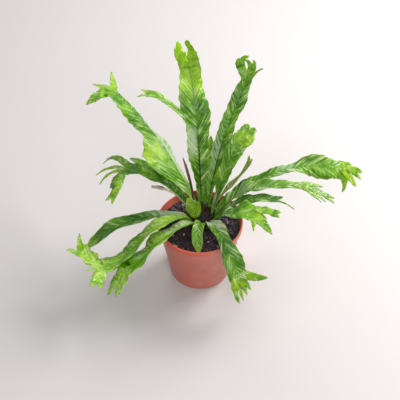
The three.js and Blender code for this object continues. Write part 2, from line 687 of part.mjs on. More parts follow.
const plant = new THREE.Group();
const fronds = FRONDS.map((form, k) => new Frond(form, k + 1));
plant.add(named("pot", backToGeometry(pot()), 0xb0604f, 0.45));
plant.add(named("potting_mix", backToGeometry(pottingMix()), 0x2b1f20, 0.95));
plant.add(named("crown", backToGeometry(crown(fronds)), 0x2e2018, 0.9));
for (const frond of fronds) plant.add(named(frond.form.name, frond.geometry(), frond.form.colour, 0.5));

export default plant;
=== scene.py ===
import logging
import math
from collections.abc import Callable
from dataclasses import dataclass, replace
from enum import Enum

import bpy
import numpy as np
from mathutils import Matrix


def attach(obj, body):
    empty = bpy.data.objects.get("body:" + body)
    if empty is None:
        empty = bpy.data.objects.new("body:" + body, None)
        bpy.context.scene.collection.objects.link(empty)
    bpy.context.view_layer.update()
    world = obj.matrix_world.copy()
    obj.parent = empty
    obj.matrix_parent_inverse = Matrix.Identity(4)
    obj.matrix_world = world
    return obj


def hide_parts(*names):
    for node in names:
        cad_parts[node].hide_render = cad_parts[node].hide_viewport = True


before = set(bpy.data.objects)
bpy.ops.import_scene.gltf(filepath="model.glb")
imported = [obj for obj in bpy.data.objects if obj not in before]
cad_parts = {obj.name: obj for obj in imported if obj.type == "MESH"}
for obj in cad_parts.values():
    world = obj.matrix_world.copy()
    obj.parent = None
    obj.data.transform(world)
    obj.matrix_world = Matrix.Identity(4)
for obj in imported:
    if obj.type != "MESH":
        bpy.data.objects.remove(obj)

log = logging.getLogger("potted_fern")

Colour = tuple[float, float, float]
Socket = bpy.types.NodeSocket
Angles = Callable[[np.ndarray], tuple[np.ndarray, ...]]
# Where a smooth step starts and ends and, if it isn't 1, its height; and a noise's scale and detail
Band = tuple[float, ...]
Noise = tuple[float, float]

MM = 0.001
TAU = 2 * math.pi

# The least length that a direction is divided by, and the share of a side that a round corner takes
SHORTEST = 1e-9
ARC_SHARE = 0.45

# The crown that all fronds grow from, and what every stem shares: how high it is seated, its first
# pitch, where it has bent to its own, how long it stays bare, and over what length the blade opens
CROWN_MIDDLE = (4.0, 10.0)
SEAT_HEIGHT = 84.0
STEM_RISE = 80.0
STEM_BEND = 32.0
STEM_LENGTH = 10.0
BLADE_OPENS = 20.0

# What every blade shares: its thickness, the plain length of an edge's wave, its side veins, which
# run forwards by VEIN_SLANT times the distance from the rib, the pleats between them, and the
# streaks that light and shade draw along them
BLADE_THICKNESS = 0.9
SHORT_BEAT = 28.0
VEIN_STEP = 2.9
VEIN_SLANT = 1.5
PLEAT_STEP = 6.2
PLEAT_DEPTH = 1.4
STREAK_STEP = 2.3
STREAK_LENGTH = 16.0

# The sine that makes whole numbers look random, and the curve between a screen's colours and light
WILD_TURN, WILD_START, WILD_REACH = 78.233, 12.9898, 43758.5453
SCREEN_WHITE = 255
SCREEN_TOE, SCREEN_TOE_SLOPE, SCREEN_SHIFT, SCREEN_POWER = 0.04045, 12.92, 0.055, 2.4


class Tone(Enum):
    """The leaf colour of a frond, which picks its finish where the frond has none of its own."""

    BRIGHT = "leaf_bright"
    MID = "leaf_mid"
    DARK = "leaf_dark"
    DRY = "leaf_dry"


@dataclass(frozen=True)
class Lobe:
    """One lobe of a crest.

    Its share of the edge that it grows from, degrees that it turns to the left at its root, length
    and widest half-width, then degrees of lift, of twist and of hook, and the lobes it forks into.
    """

    share: float
    turn: float
    length: float
    width: float
    lift: float = 0.0
    twist: float = 0.0
    hook: float = 0.0
    lobes: tuple["Lobe", ...] = ()


@dataclass(frozen=True)
class Frond:
    """One frond: its seat in the crown, and stations at equal steps from its foot to its tip.

    pitch is degrees above level, yaw the azimuth, roll the turn about the midrib, keel the fold of
    the two halves, width the half-width and rib its thickness. ruffle is the height of the waves
    along the edge and beat their length. uneven widens the left half.
    """

    node: str
    tone: Tone
    seat: tuple[float, float]
    length: float
    pitch: tuple[float, ...]
    yaw: tuple[float, ...]
    width: tuple[float, ...]
    ruffle: float
    lobes: tuple[Lobe, ...] = ()
    roll: tuple[float, ...] = (0,)
    keel: tuple[float, ...] = (55, 35, 20, 12)
    rib: tuple[float, ...] = (3, 2.2, 1.6, 1.3, 1.2)
    beat: float = SHORT_BEAT
    uneven: float = 0.0


# Every frond. Its place in this list is also the seed of its waves, so the order stays as it is
FRONDS = (
    Frond(
        node="frond_back_tall", tone=Tone.MID, seat=(104, 8), length=226,
        pitch=(80, 80, 76, 66, 48, 42), yaw=(98, 98, 99, 102, 101),
        width=(1.7, 4.5, 8, 12.5, 15.5, 17.5, 18.5, 17.5, 14.5), ruffle=3.2, beat=64, uneven=0.06,
        lobes=(
            Lobe(1, 27, 24, 9, lift=35, twist=30,
                lobes=(Lobe(1, 28, 13, 3.5, lift=40), Lobe(1, -16, 13, 4)),
            ),
            Lobe(1, -14, 22, 8.5, lift=40, twist=-20,
                lobes=(Lobe(1, 10, 15, 4.5), Lobe(1, -32, 14, 4, lift=40)),
            ),
        ),
    ),
    Frond(
        node="frond_back_thin", tone=Tone.BRIGHT, seat=(90, 15), length=206,
        pitch=(66, 63, 63, 63, 60, 52, 36, 24, 24, 4),
        yaw=(101, 101, 102, 103, 105, 110, 129, 150, 150, 172),
        width=(1.7, 2.5, 3.5, 4, 4.5, 5, 5, 5, 7), ruffle=1.4,
        lobes=(Lobe(1, 25, 16, 3, lift=-20), Lobe(1, -30, 13, 2.5)),
    ),
    Frond(
        node="frond_right_tall", tone=Tone.MID, seat=(62, 11.5), length=206,
        pitch=(73, 71, 66, 55, 44, 38), yaw=(62, 60, 58, 60),
        width=(1.7, 4, 8, 10.5, 11.5, 12, 11, 10), ruffle=3.2, beat=48,
        lobes=(
            Lobe(1.3, 46, 20, 6, lift=25,
                lobes=(Lobe(1, 20, 18, 3.5, lift=60, hook=-130), Lobe(1, -30, 20, 4, hook=-90)),
            ),
            Lobe(1.2, -8, 18, 6, lift=25,
                lobes=(Lobe(1, 24, 18, 3.5, lift=50, hook=70), Lobe(1, -24, 16, 4, hook=90)),
            ),
            Lobe(0.8, -14, 32, 2.5, lift=10, hook=-70),
        ),
    ),
    Frond(
        node="frond_right_bright", tone=Tone.BRIGHT, seat=(4, 9.5), length=128,
        pitch=(73, 74, 75, 61, 32), yaw=(6, 27, 46, 50),
        width=(1.7, 4, 6.5, 9.5, 12, 12), ruffle=3, beat=44,
        lobes=(
            Lobe(1.4, -14, 26, 9, lobes=(Lobe(1, 14, 9, 4.5), Lobe(1, -30, 12, 5))),
            Lobe(1, -44, 32, 5.5, lift=-40, hook=110),
        ),
    ),
    Frond(
        node="frond_right_long", tone=Tone.MID, seat=(18, 14.5), length=216,
        pitch=(52, 43, 30, 13, -10, -28), yaw=(15, 13, 10, 9),
        roll=(0, 4, 8, 8, 2, 0, 10, 42, 42, 32), keel=(50, 30, 18, 12, 5, 0),
        width=(1.7, 4.5, 8, 10, 9.5, 7.5, 8, 14.5, 15.5, 14), ruffle=3, beat=48,
        lobes=(
            Lobe(1, -10, 28, 6.5, lift=-10, lobes=(Lobe(1, 10, 12, 3.5), Lobe(1, -22, 14, 3.5))),
            Lobe(1, -30, 38, 6.5, lift=-20),
            Lobe(0.8, -50, 34, 5, lift=-60, hook=-20),
        ),
    ),
    Frond(
        node="frond_right_mid", tone=Tone.BRIGHT, seat=(-6, 14), length=152,
        pitch=(62, 55, 36, 6, -6), yaw=(0, 0, 0),
        width=(1.7, 4.5, 8, 10.5, 10, 8, 6), ruffle=2.2, uneven=0.2,
        lobes=(
            Lobe(1, -2, 36, 4, lift=-10),
            Lobe(1, -18, 42, 4.5, lift=-20, lobes=(Lobe(1, 16, 12, 2.5), Lobe(1, -14, 14, 2.5))),
            Lobe(1, -30, 44, 4, lift=-20),
            Lobe(1, -46, 38, 3, lift=-30, hook=20),
        ),
    ),
    Frond(
        node="frond_right_dark", tone=Tone.DARK, seat=(-30, 14), length=118,
        pitch=(56, 53, 43, 18, 0), yaw=(-9, -10, -6),
        width=(1.7, 3.2, 5, 8, 8.5, 6), ruffle=2,
        lobes=(Lobe(1.2, 24, 12, 3), Lobe(1, -14, 30, 1.6, lift=-40)),
    ),
    Frond(
        node="frond_right_low", tone=Tone.DARK, seat=(-46, 14), length=99,
        pitch=(57, 53, 37, 10), yaw=(-48, -38, -24),
        width=(1.7, 3.8, 8.5, 14, 16), ruffle=3, uneven=0.2,
        lobes=(
            Lobe(1.1, 2, 26, 7, lift=-10, lobes=(Lobe(1, 16, 10, 4), Lobe(1, -30, 12, 4))),
            Lobe(0.7, -12, 22, 4, lift=-30),
            Lobe(1.1, -34, 44, 7, lift=-20),
            Lobe(0.7, -70, 26, 3.5, lift=-40),
        ),
    ),
    Frond(
        node="frond_right_dry", tone=Tone.DRY, seat=(42, 14), length=100,
        pitch=(62, 58, 47, 40, 48, 58), yaw=(34, 30, 26, 24),
        width=(1.3, 1.3, 1.6, 5, 2.2, 4.5), rib=(2.2, 1.8, 1.3), ruffle=2.6, beat=22,
        lobes=(Lobe(1, 38, 13, 3, lift=20), Lobe(1, -26, 15, 3, lift=30)),
    ),
    Frond(
        node="frond_front_hanging", tone=Tone.MID, seat=(-70, 14), length=122,
        pitch=(72, 50, 12, -28, -52, -62), yaw=(-70, -62, -55),
        width=(1.7, 5.6, 10, 11.5, 12.5, 18), ruffle=3, beat=44,
        lobes=(
            Lobe(1.2, 48, 46, 6.5, lift=15, hook=20),
            Lobe(1, 12, 22, 6.5, lift=5, lobes=(Lobe(1, 20, 12, 3), Lobe(1, -12, 14, 3))),
            Lobe(0.8, -4, 42, 3.5, lift=10),
            Lobe(1.2, -18, 40, 6.5, lift=10, hook=24),
        ),
    ),
    Frond(
        node="frond_front_strap", tone=Tone.MID, seat=(-90, 12.5), length=73,
        pitch=(84, 60, -1, -39, -26), yaw=(-90, -112, -103, -86, -80),
        width=(1.7, 7, 8.8, 8.2, 7.6, 7.4), ruffle=1,
    ),
    Frond(
        node="frond_left_upper", tone=Tone.MID, seat=(-150, 14), length=166,
        pitch=(58, 24, -18, -38, -30, 15), yaw=(-154, -154, -152, -154), roll=(0, 4, 18, 22, 12),
        width=(1.7, 6, 10.5, 13.5, 15, 15.5, 15), ruffle=2.6, beat=48, uneven=0.08,
        lobes=(
            Lobe(1.2, 55, 35, 9, lobes=(Lobe(1, 20, 14, 4), Lobe(1, -14, 16, 3.5))),
            Lobe(0.7, 8, 28, 4, lift=10),
            Lobe(1.4, -56, 34, 11.5, lift=15,
                lobes=(Lobe(1, 18, 18, 4, hook=40), Lobe(1, -44, 24, 3.5, lift=20)),
            ),
        ),
    ),
    Frond(
        node="frond_left_lower", tone=Tone.BRIGHT, seat=(-127, 14), length=128,
        pitch=(45, 11, -16, -33, -28), yaw=(-134, -143, -147, -149), roll=(0, 8, 22, 26, 16),
        width=(1.7, 6.5, 13, 16, 16), ruffle=2.6, beat=42, uneven=-0.12,
        lobes=(
            Lobe(1.2, 48, 44, 7.5, lift=-10),
            Lobe(1, 20, 30, 7, lift=-14, lobes=(Lobe(1, 26, 20, 3.5), Lobe(1, -4, 22, 4))),
        ),
    ),
    Frond(
        node="frond_left_arched", tone=Tone.DARK, seat=(191, 14), length=174,
        pitch=(30, 7, 2, -9, -32, -50), yaw=(182, 191, 196, 197),
        width=(1.7, 5, 8, 10, 11.5, 10.5, 8), ruffle=1.8, beat=56,
    ),
    Frond(
        node="frond_left_hand", tone=Tone.MID, seat=(152, 14), length=126,
        pitch=(48, 51, 42, 14, -8), yaw=(158, 160, 160),
        width=(1.7, 4.8, 9, 10, 11), ruffle=2.5, beat=36, uneven=0.1,
        lobes=(
            Lobe(1.2, 109, 46, 5.5, lift=-20, hook=-30,
                lobes=(Lobe(1, 26, 14, 3), Lobe(1, -30, 13, 3)),
            ),
            Lobe(1, 48, 32, 5, lift=-60, lobes=(Lobe(1, 20, 10, 3), Lobe(1, -20, 10, 3))),
            Lobe(1, 8, 52, 3.5, lift=-40, hook=60),
            Lobe(1, -10, 58, 3.5, lift=-30, hook=50),
            Lobe(1.3, -31, 42, 5, lift=-30,
                lobes=(Lobe(1, 28, 28, 3, lift=-30), Lobe(1, 2, 28, 3, lift=-20, hook=30)),
            ),
        ),
    ),
    Frond(
        node="frond_left_dark", tone=Tone.DARK, seat=(132, 14), length=138,
        pitch=(44, 34, 23, 6, -10), yaw=(144, 145, 144),
        width=(1.7, 3.5, 5, 6, 6, 5), ruffle=1.5,
    ),
    Frond(
        node="frond_back_left", tone=Tone.BRIGHT, seat=(112, 14), length=232,
        pitch=(52, 50, 43, 17, 5, 5), yaw=(137, 134, 128.5, 127), roll=(0, 15, 25, 25, 20, 10),
        keel=(40, 5, -10, -10, 0), width=(1.7, 5.5, 14, 24, 22.5, 14.5, 11.5, 10.5, 9),
        ruffle=4.2, beat=88, uneven=0.44,
        lobes=(
            Lobe(0.7, 122, 24, 4, lift=-30),
            Lobe(1.6, 88, 46, 9.5, lift=-35),
            Lobe(1, 34, 38, 5.5, lift=-10),
            Lobe(1, -26, 44, 5.5, lift=16),
        ),
    ),
    Frond(
        node="stem_knobbed", tone=Tone.DRY, seat=(177, 14), length=94,
        pitch=(68, 67, 56, 18, -4), yaw=(174, 169, 165),
        width=(1.2, 1.2, 1.2, 1.1, 1.1, 1.1, 1.2, 4.2, 4), rib=(2.2, 2, 2, 2, 2, 2, 2, 5, 5), ruffle=0,
    ),
    Frond(
        node="frond_dry_upright", tone=Tone.DRY, seat=(172, 7.5), length=121,
        pitch=(82, 83, 82, 78, 74), yaw=(172, 160, 150),
        width=(1.3, 2, 3, 3, 2), rib=(2.2, 1.8, 1.4, 1.2), ruffle=1,
    ),
    Frond(
        node="frond_young", tone=Tone.BRIGHT, seat=(228, 7), length=56,
        pitch=(80, 74, 60), yaw=(176, 172, 162), roll=(-50, -60, -58), keel=(45, 25, 15),
        width=(1.5, 5.5, 9.5, 10.5, 9), ruffle=2,
    ),
    Frond(
        node="frond_back_hidden", tone=Tone.MID, seat=(71, 15), length=116,
        pitch=(66, 60, 52, 46, 50), yaw=(86, 85, 82),
        width=(1.7, 4, 6, 7, 7, 6), ruffle=2,
    ),
)


def ease(x: np.ndarray | float) -> np.ndarray:
    """A smooth step from 0 to 1.

    Args:
        x: Where to read it; anything below 0 gives 0 and above 1 gives 1.

    Returns:
        The step's height at each x, 3x^2 - 2x^3.
    """
    t = np.clip(x, 0.0, 1.0)
    return t * t * (3 - 2 * t)


def chance(seed: int, count: int) -> np.ndarray:
    """Numbers from 0 to 1 that look random and never change.

    Args:
        seed: Which series.
        count: How many numbers of it.

    Returns:
        The fraction left of a large multiple of the sine of each place in the series.
    """
    wild = np.abs(np.sin(WILD_START * seed + WILD_TURN * np.arange(count))) * WILD_REACH
    return wild - np.floor(wild)


def stations(values: tuple[float, ...], s: np.ndarray) -> np.ndarray:
    """A smooth curve through equally spaced stations, a Catmull-Rom spline.

    Args:
        values: The curve's heights at its stations.
        s: Where to read it, from 0 at the first station to 1 at the last.

    Returns:
        The curve's height at each s.
    """
    p = np.asarray(values, float)
    last = len(p) - 1
    if last == 0:
        return np.full_like(s, p[0])
    x = np.clip(s, 0.0, 1.0) * last
    i = np.minimum(x.astype(int), last - 1)
    t = x - i
    a, b, c, d = (p[np.clip(i + k, 0, last)] for k in (-1, 0, 1, 2))
    square = 2 * a - 5 * b + 4 * c - d
    cube = 3 * b - 3 * c + d - a
    return 0.5 * (2 * b + (c - a) * t + square * t**2 + cube * t**3)


@dataclass(frozen=True)
class Spine:
    """Stops along a midrib: distance, place, and the directions along, left and up at each."""

    at: np.ndarray
    middle: np.ndarray
    along: np.ndarray
    left: np.ndarray
    up: np.ndarray

    def lay(self, out: np.ndarray, lift: np.ndarray) -> np.ndarray:
        """Points at distances out to the left of the midrib and lifted over it, row by row."""
        beside = self.middle[:, None] + self.left[:, None] * out[..., None]
        return beside + self.up[:, None] * lift[..., None]


def grid_faces(grid: np.ndarray) -> np.ndarray:
    """Makes a four-sided face between every four neighbours of a grid.

    Args:
        grid: The points' places, rows by columns.

    Returns:
        The faces, with their corners in the order row, column.
    """
    corners = (grid[:-1, :-1], grid[:-1, 1:], grid[1:, 1:], grid[1:, :-1])
    return np.stack(corners, axis=-1).reshape(-1, 4)


def directions(frame_rows: np.ndarray, angles: tuple[np.ndarray, ...]) -> tuple[np.ndarray, ...]:
    """Turns a frame of three directions by pitch, yaw and roll.

    Args:
        frame_rows: Three unit rows: ahead, left and up.
        angles: Degrees of pitch, yaw and roll at each stop.

    Returns:
        Along, left and up at each stop.
    """
    pitch, yaw, roll = (np.radians(a)[:, None] for a in angles)
    x, y, z = frame_rows
    along = np.cos(pitch) * (np.cos(yaw) * x + np.sin(yaw) * y) + np.sin(pitch) * z
    level = np.cos(yaw) * y - np.sin(yaw) * x
    lift = np.cross(along, level)
    left = np.cos(roll) * level + np.sin(roll) * lift
    up = np.cos(roll) * lift - np.sin(roll) * level
    return along, left, up


def walk(start: np.ndarray, frame_rows: np.ndarray, length: float, angles: Angles,
         at: np.ndarray) -> Spine:
    """Follows changing directions in steps of about 1 mm and adds them up.

    Args:
        start: Where the midrib starts.
        frame_rows: The frame that the angles are read in.
        length: How long the midrib is.
        angles: A function of s from 0 to 1 that gives pitch, yaw and roll.
        at: The distances to stop at.

    Returns:
        The stops.
    """
    count = math.ceil(length)
    steps, _, _ = directions(frame_rows, angles((np.arange(count) + 0.5) / count))
    path = np.vstack([np.zeros(3), np.cumsum(steps, axis=0) * (length / count)]) + start
    grid = np.linspace(0, length, count + 1)
    middle = np.stack([np.interp(at, grid, path[:, k]) for k in range(3)], axis=1)
    return Spine(at, middle, *directions(frame_rows, angles(at / length)))


class Sheet:
    """A thin leaf: points with a half thickness and marks each, and the faces between their rows."""

    def __init__(self) -> None:
        """Starts an empty sheet."""
        self.points: list[np.ndarray] = []
        self.halves: list[np.ndarray] = []
        self.marks: list[np.ndarray] = []
        self.quads: list[np.ndarray] = []
        self.fans: list[np.ndarray] = []
        self.count = 0

    def rows(self, points: np.ndarray, halves: np.ndarray, marks: np.ndarray) -> np.ndarray:
        """Adds rows of points.

        Args:
            points: Rows by columns by 3.
            halves: Half the thickness at each point.
            marks: Rows by columns by the number of marks.

        Returns:
            The points' places in the sheet, rows by columns.
        """
        shape = points.shape[:2]
        size = shape[0] * shape[1]
        self.points.append(points.reshape(size, 3))
        self.halves.append(np.broadcast_to(halves, shape).reshape(size))
        self.marks.append(marks.reshape(size, -1))
        first = self.count
        self.count += size
        return np.arange(first, self.count).reshape(shape)

    def weave(self, grid: np.ndarray) -> None:
        """Adds a face between every four neighbours of a grid of places, facing up."""
        self.quads.append(grid_faces(grid))

    def fan(self, row: np.ndarray, tip: int) -> None:
        """Closes a row of places to one point."""
        self.fans.append(np.stack([row[:-1], row[1:], np.full(len(row) - 1, tip)], axis=-1))

    def solid(self) -> tuple[np.ndarray, np.ndarray, np.ndarray, np.ndarray]:
        """Gives the sheet its thickness.

        Each point moves half the thickness up and down its normal, both faces carry the same
        polygons, and a wall closes every edge that only one polygon has.

        Returns:
            Points, four-sided faces, three-sided faces, and the marks of each point.
        """
        p = np.vstack(self.points)
        half = np.concatenate(self.halves)[:, None]
        marks = np.vstack(self.marks)
        quads = np.vstack(self.quads)
        fans = np.vstack(self.fans) if self.fans else np.zeros((0, 3), int)
        normal = np.zeros_like(p)
        of_quads = np.cross(p[quads[:, 2]] - p[quads[:, 0]], p[quads[:, 3]] - p[quads[:, 1]])
        of_fans = np.cross(p[fans[:, 1]] - p[fans[:, 0]], p[fans[:, 2]] - p[fans[:, 0]])
        edges: list[np.ndarray] = []
        for faces, across in ((quads, of_quads), (fans, of_fans)):
            for k in range(faces.shape[1]):
                np.add.at(normal, faces[:, k], across)
                edges.append(faces[:, [k, (k + 1) % faces.shape[1]]])
        normal /= np.maximum(np.linalg.norm(normal, axis=1, keepdims=True), SHORTEST)
        n = len(p)
        a, b = np.vstack(edges).T
        open_ones = ~np.isin(a * n + b, b * n + a)
        a, b = a[open_ones], b[open_ones]
        walls = np.stack([b, a, a + n, b + n], axis=-1)
        points = np.vstack([p + normal * half, p - normal * half])
        four = np.vstack([quads, quads[:, ::-1] + n, walls])
        three = np.vstack([fans, fans[:, ::-1] + n])
        return points, four, three, np.vstack([marks, marks])


def make_piece(name: str, points: np.ndarray, faces: list[np.ndarray], marks: dict[str, np.ndarray],
               smooth: bool = True) -> bpy.types.Object:
    """Makes an object from arrays.

    Args:
        name: The object's name.
        points: Points in millimetres.
        faces: Arrays of faces, each with one number of corners.
        marks: A number for each point, by attribute name.
        smooth: Whether faces are shaded smooth.

    Returns:
        The object, at the origin, with its place in its mesh in metres.
    """
    mesh = bpy.data.meshes.new(name)
    sizes = np.concatenate([np.full(len(f), f.shape[1]) for f in faces])
    corners = np.concatenate([f.reshape(-1) for f in faces]).astype(np.int32)
    mesh.vertices.add(len(points))
    mesh.vertices.foreach_set("co", (points * MM).astype(np.float32).reshape(-1))
    mesh.loops.add(len(corners))
    mesh.loops.foreach_set("vertex_index", corners)
    mesh.polygons.add(len(sizes))
    starts = np.concatenate([[0], np.cumsum(sizes)[:-1]]).astype(np.int32)
    mesh.polygons.foreach_set("loop_start", starts)
    mesh.update(calc_edges=True)
    mesh.polygons.foreach_set("use_smooth", np.full(len(sizes), smooth))
    for mark, values in marks.items():
        mesh.attributes.new(mark, "FLOAT", "POINT").data.foreach_set("value", values.astype(np.float32))
    mesh.validate()
    piece = bpy.data.objects.new(name, mesh)
    bpy.context.scene.collection.objects.link(piece)
    return piece


class Graph:
    """Builds the node tree of one material, a node at a time."""

    def __init__(self, name: str) -> None:
        """Starts a material with an output only.

        Args:
            name: The material's name.
        """
        self.material = bpy.data.materials.new(name)
        self.material.use_nodes = True
        self.tree = self.material.node_tree
        self.tree.nodes.clear()
        self.output = self.tree.nodes.new("ShaderNodeOutputMaterial")

    def feed(self, socket: Socket, value: object) -> None:
        """Links a socket to an output, or sets it to a plain value, a colour with full alpha.

        Args:
            socket: The input.
            value: An output, a number or a colour of three channels.
        """
        if isinstance(value, bpy.types.NodeSocket):
            self.tree.links.new(value, socket)
        else:
            socket.default_value = (*value, 1.0) if isinstance(value, tuple) else value

    def put(self, node: bpy.types.Node, **values: object) -> bpy.types.Node:
        """Sets a node's inputs.

        Args:
            node: The node.
            values: Sockets or plain values by input name, with _ for a space.

        Returns:
            The node.
        """
        for name, value in values.items():
            self.feed(node.inputs[name.replace("_", " ")], value)
        return node

    def node(self, kind: str, **values: object) -> bpy.types.Node:
        """Adds a shader node of a kind with its inputs set."""
        return self.put(self.tree.nodes.new("ShaderNode" + kind), **values)

    def maths(self, operation: str, a: Socket | float, b: Socket | float = 0.0) -> Socket:
        """Adds a Math node.

        Args:
            operation: Its operation's name.
            a: The first number.
            b: The second number.

        Returns:
            The result.
        """
        node = self.tree.nodes.new("ShaderNodeMath")
        node.operation = operation
        self.feed(node.inputs[0], a)
        self.feed(node.inputs[1], b)
        return node.outputs[0]

    def plus(self, a: Socket | float, b: Socket | float) -> Socket:
        """The sum of two numbers."""
        return self.maths("ADD", a, b)

    def minus(self, a: Socket | float, b: Socket | float) -> Socket:
        """The first number less the second."""
        return self.maths("SUBTRACT", a, b)

    def times(self, a: Socket | float, b: Socket | float) -> Socket:
        """The product of two numbers."""
        return self.maths("MULTIPLY", a, b)

    def step(self, value: Socket, low: float, high: float, reach: float = 1.0) -> Socket:
        """A smooth step of a value.

        Args:
            value: The value.
            low: Where the step starts; it may lie above high, and the step then runs down.
            high: Where it ends.
            reach: The step's height.

        Returns:
            0 before low, reach past high, and 3x^2 - 2x^3 of the reach between them.
        """
        node = self.tree.nodes.new("ShaderNodeMapRange")
        node.interpolation_type = "SMOOTHSTEP"
        self.put(node, Value=value, From_Min=low, From_Max=high, To_Min=0.0, To_Max=reach)
        return node.outputs["Result"]

    def mark(self, name: str) -> Socket:
        """A mark of the mesh.

        Args:
            name: Its attribute's name.

        Returns:
            The mark's value.
        """
        node = self.tree.nodes.new("ShaderNodeAttribute")
        node.attribute_name = name
        return node.outputs["Fac"]

    def place(self) -> Socket:
        """Object coordinates, in metres."""
        return self.tree.nodes.new("ShaderNodeTexCoord").outputs["Object"]

    def noise(self, scale: float, detail: float) -> Socket:
        """Noise on object coordinates.

        Args:
            scale: One over the size of its patches, in metres.
            detail: How many finer layers it has.

        Returns:
            A number that runs from about 0.2 to 0.8.
        """
        node = self.node("TexNoise", Vector=self.place(), Scale=scale, Detail=detail, Roughness=0.55)
        return node.outputs["Fac"]

    def mix(self, factor: Socket | float, low: Socket | Colour, high: Socket | Colour) -> Socket:
        """Mixes two colours.

        Args:
            factor: 0 for low and 1 for high.
            low: The first colour.
            high: The second colour.

        Returns:
            The mixed colour.
        """
        node = self.tree.nodes.new("ShaderNodeMix")
        node.data_type = "RGBA"
        inputs = [s for s in node.inputs if s.enabled]
        for socket, value in zip(inputs, (factor, low, high)):
            self.feed(socket, value)
        return next(s for s in node.outputs if s.enabled)

    def bump(self, height: Socket, distance: float) -> Socket:
        """A normal from a height, whose full size is a distance in metres."""
        return self.node("Bump", Height=height, Distance=distance, Strength=1.0).outputs["Normal"]

    def finish(self, shader: Socket) -> bpy.types.Material:
        """Ends the material with its shader and gives the material."""
        self.feed(self.output.inputs["Surface"], shader)
        return self.material


def srgb(red: int, green: int, blue: int) -> Colour:
    """Turns a screen's colour into light by the sRGB curve: a straight toe, then a power.

    Args:
        red: The screen's red, from 0 to 255.
        green: Its green.
        blue: Its blue.

    Returns:
        The shares of red, green and blue light that a shader takes.
    """
    values = np.array([red, green, blue]) / SCREEN_WHITE
    curved = ((values + SCREEN_SHIFT) / (1 + SCREEN_SHIFT)) ** SCREEN_POWER
    linear = np.where(values <= SCREEN_TOE, values / SCREEN_TOE_SLOPE, curved)
    return tuple(float(v) for v in linear)


@dataclass(frozen=True)
class Patches:
    """Patches of noise: the noise itself, and the band of its values over which they come in."""

    noise: Noise
    band: Band

    def over(self, g: Graph) -> Socket:
        """Adds the patches to a material and gives their strength."""
        return g.step(g.noise(*self.noise), *self.band)


@dataclass(frozen=True)
class Grain:
    """A measure that follows a noise: what it starts from, and how far the noise adds to it."""

    noise: Noise
    spread: float
    start: float

    def over(self, g: Graph) -> Socket:
        """Adds the noise to a material and gives the measure."""
        return g.plus(g.times(g.noise(*self.noise), self.spread), self.start)


@dataclass(frozen=True)
class LeafRules:
    """What every leaf's material shares.

    The bands are on marks of the mesh or on sums of noises, and a weight is how much a thing counts
    in such a sum. stipe_band is in shares of where the rib's dark part ends. stray is how far a noise
    moves the streaks within their pattern, and bend how far one moves the veins, in millimetres. The
    relief is in metres.
    """

    light_patches: Patches = Patches((30.0, 4.0), (0.38, 0.62))
    young_patches: Patches = Patches((48.0, 3.0), (0.3, 0.62, 0.85))
    brown_ends: Patches = Patches((60.0, 2.0), (0.4, 0.58))
    brown_spots: Patches = Patches((75.0, 2.0), (0.62, 0.68))
    edge_band: Band = (0.8, 1.0, 0.28)
    hollow_band: Band = (0.2, -1.0, 0.4)
    shade_band: Band = (0.46, 0.3, 0.85)
    young_band: Band = (0.0, 0.9)
    glow_band: Band = (0.6, 0.95, 0.85)
    sheen_band: Band = (0.58, 1.0, 0.9)
    # line_band, line_gaps, line_noise and line_weight place the painted highlight lines
    line_band: Band = (0.53, 0.66)
    line_gaps: Band = (0.3, 0.52)
    vein_band: Band = (0.2, 1.0)
    rib_band: Band = (1.9, 0.7)
    rib_fades: Band = (0.14, 0.0)
    stipe_band: Band = (1.25, 0.7)
    ends_band: Band = (0.9, 1.0)
    spots_band: Band = (0.84, 1.0)
    glow_noise: Noise = (42.0, 3.0)
    sheen_noise: Noise = (80.0, 3.0)
    line_noise: Noise = (60.0, 2.0)
    stray_noise: Noise = (12.0, 1.0)
    bend_noise: Noise = (70.0, 2.0)
    fine_noise: Noise = (150.0, 3.0)
    gloss_noise: Noise = (55.0, 2.0)
    wave_weight: float = 0.8
    shine_weight: float = 0.6
    streak_weight: float = 0.9
    line_weight: float = 0.12
    vein_weight: float = -0.35
    shade_share: float = 0.36
    stipe_strength: float = 0.92
    foot_strength: float = 0.9
    stray: float = 4.0
    bend: float = 3.0
    relief: float = 0.0008
    gloss_spread: float = 0.24
    specular: float = 0.6
    through_crest: float = 0.5


LEAF = LeafRules()


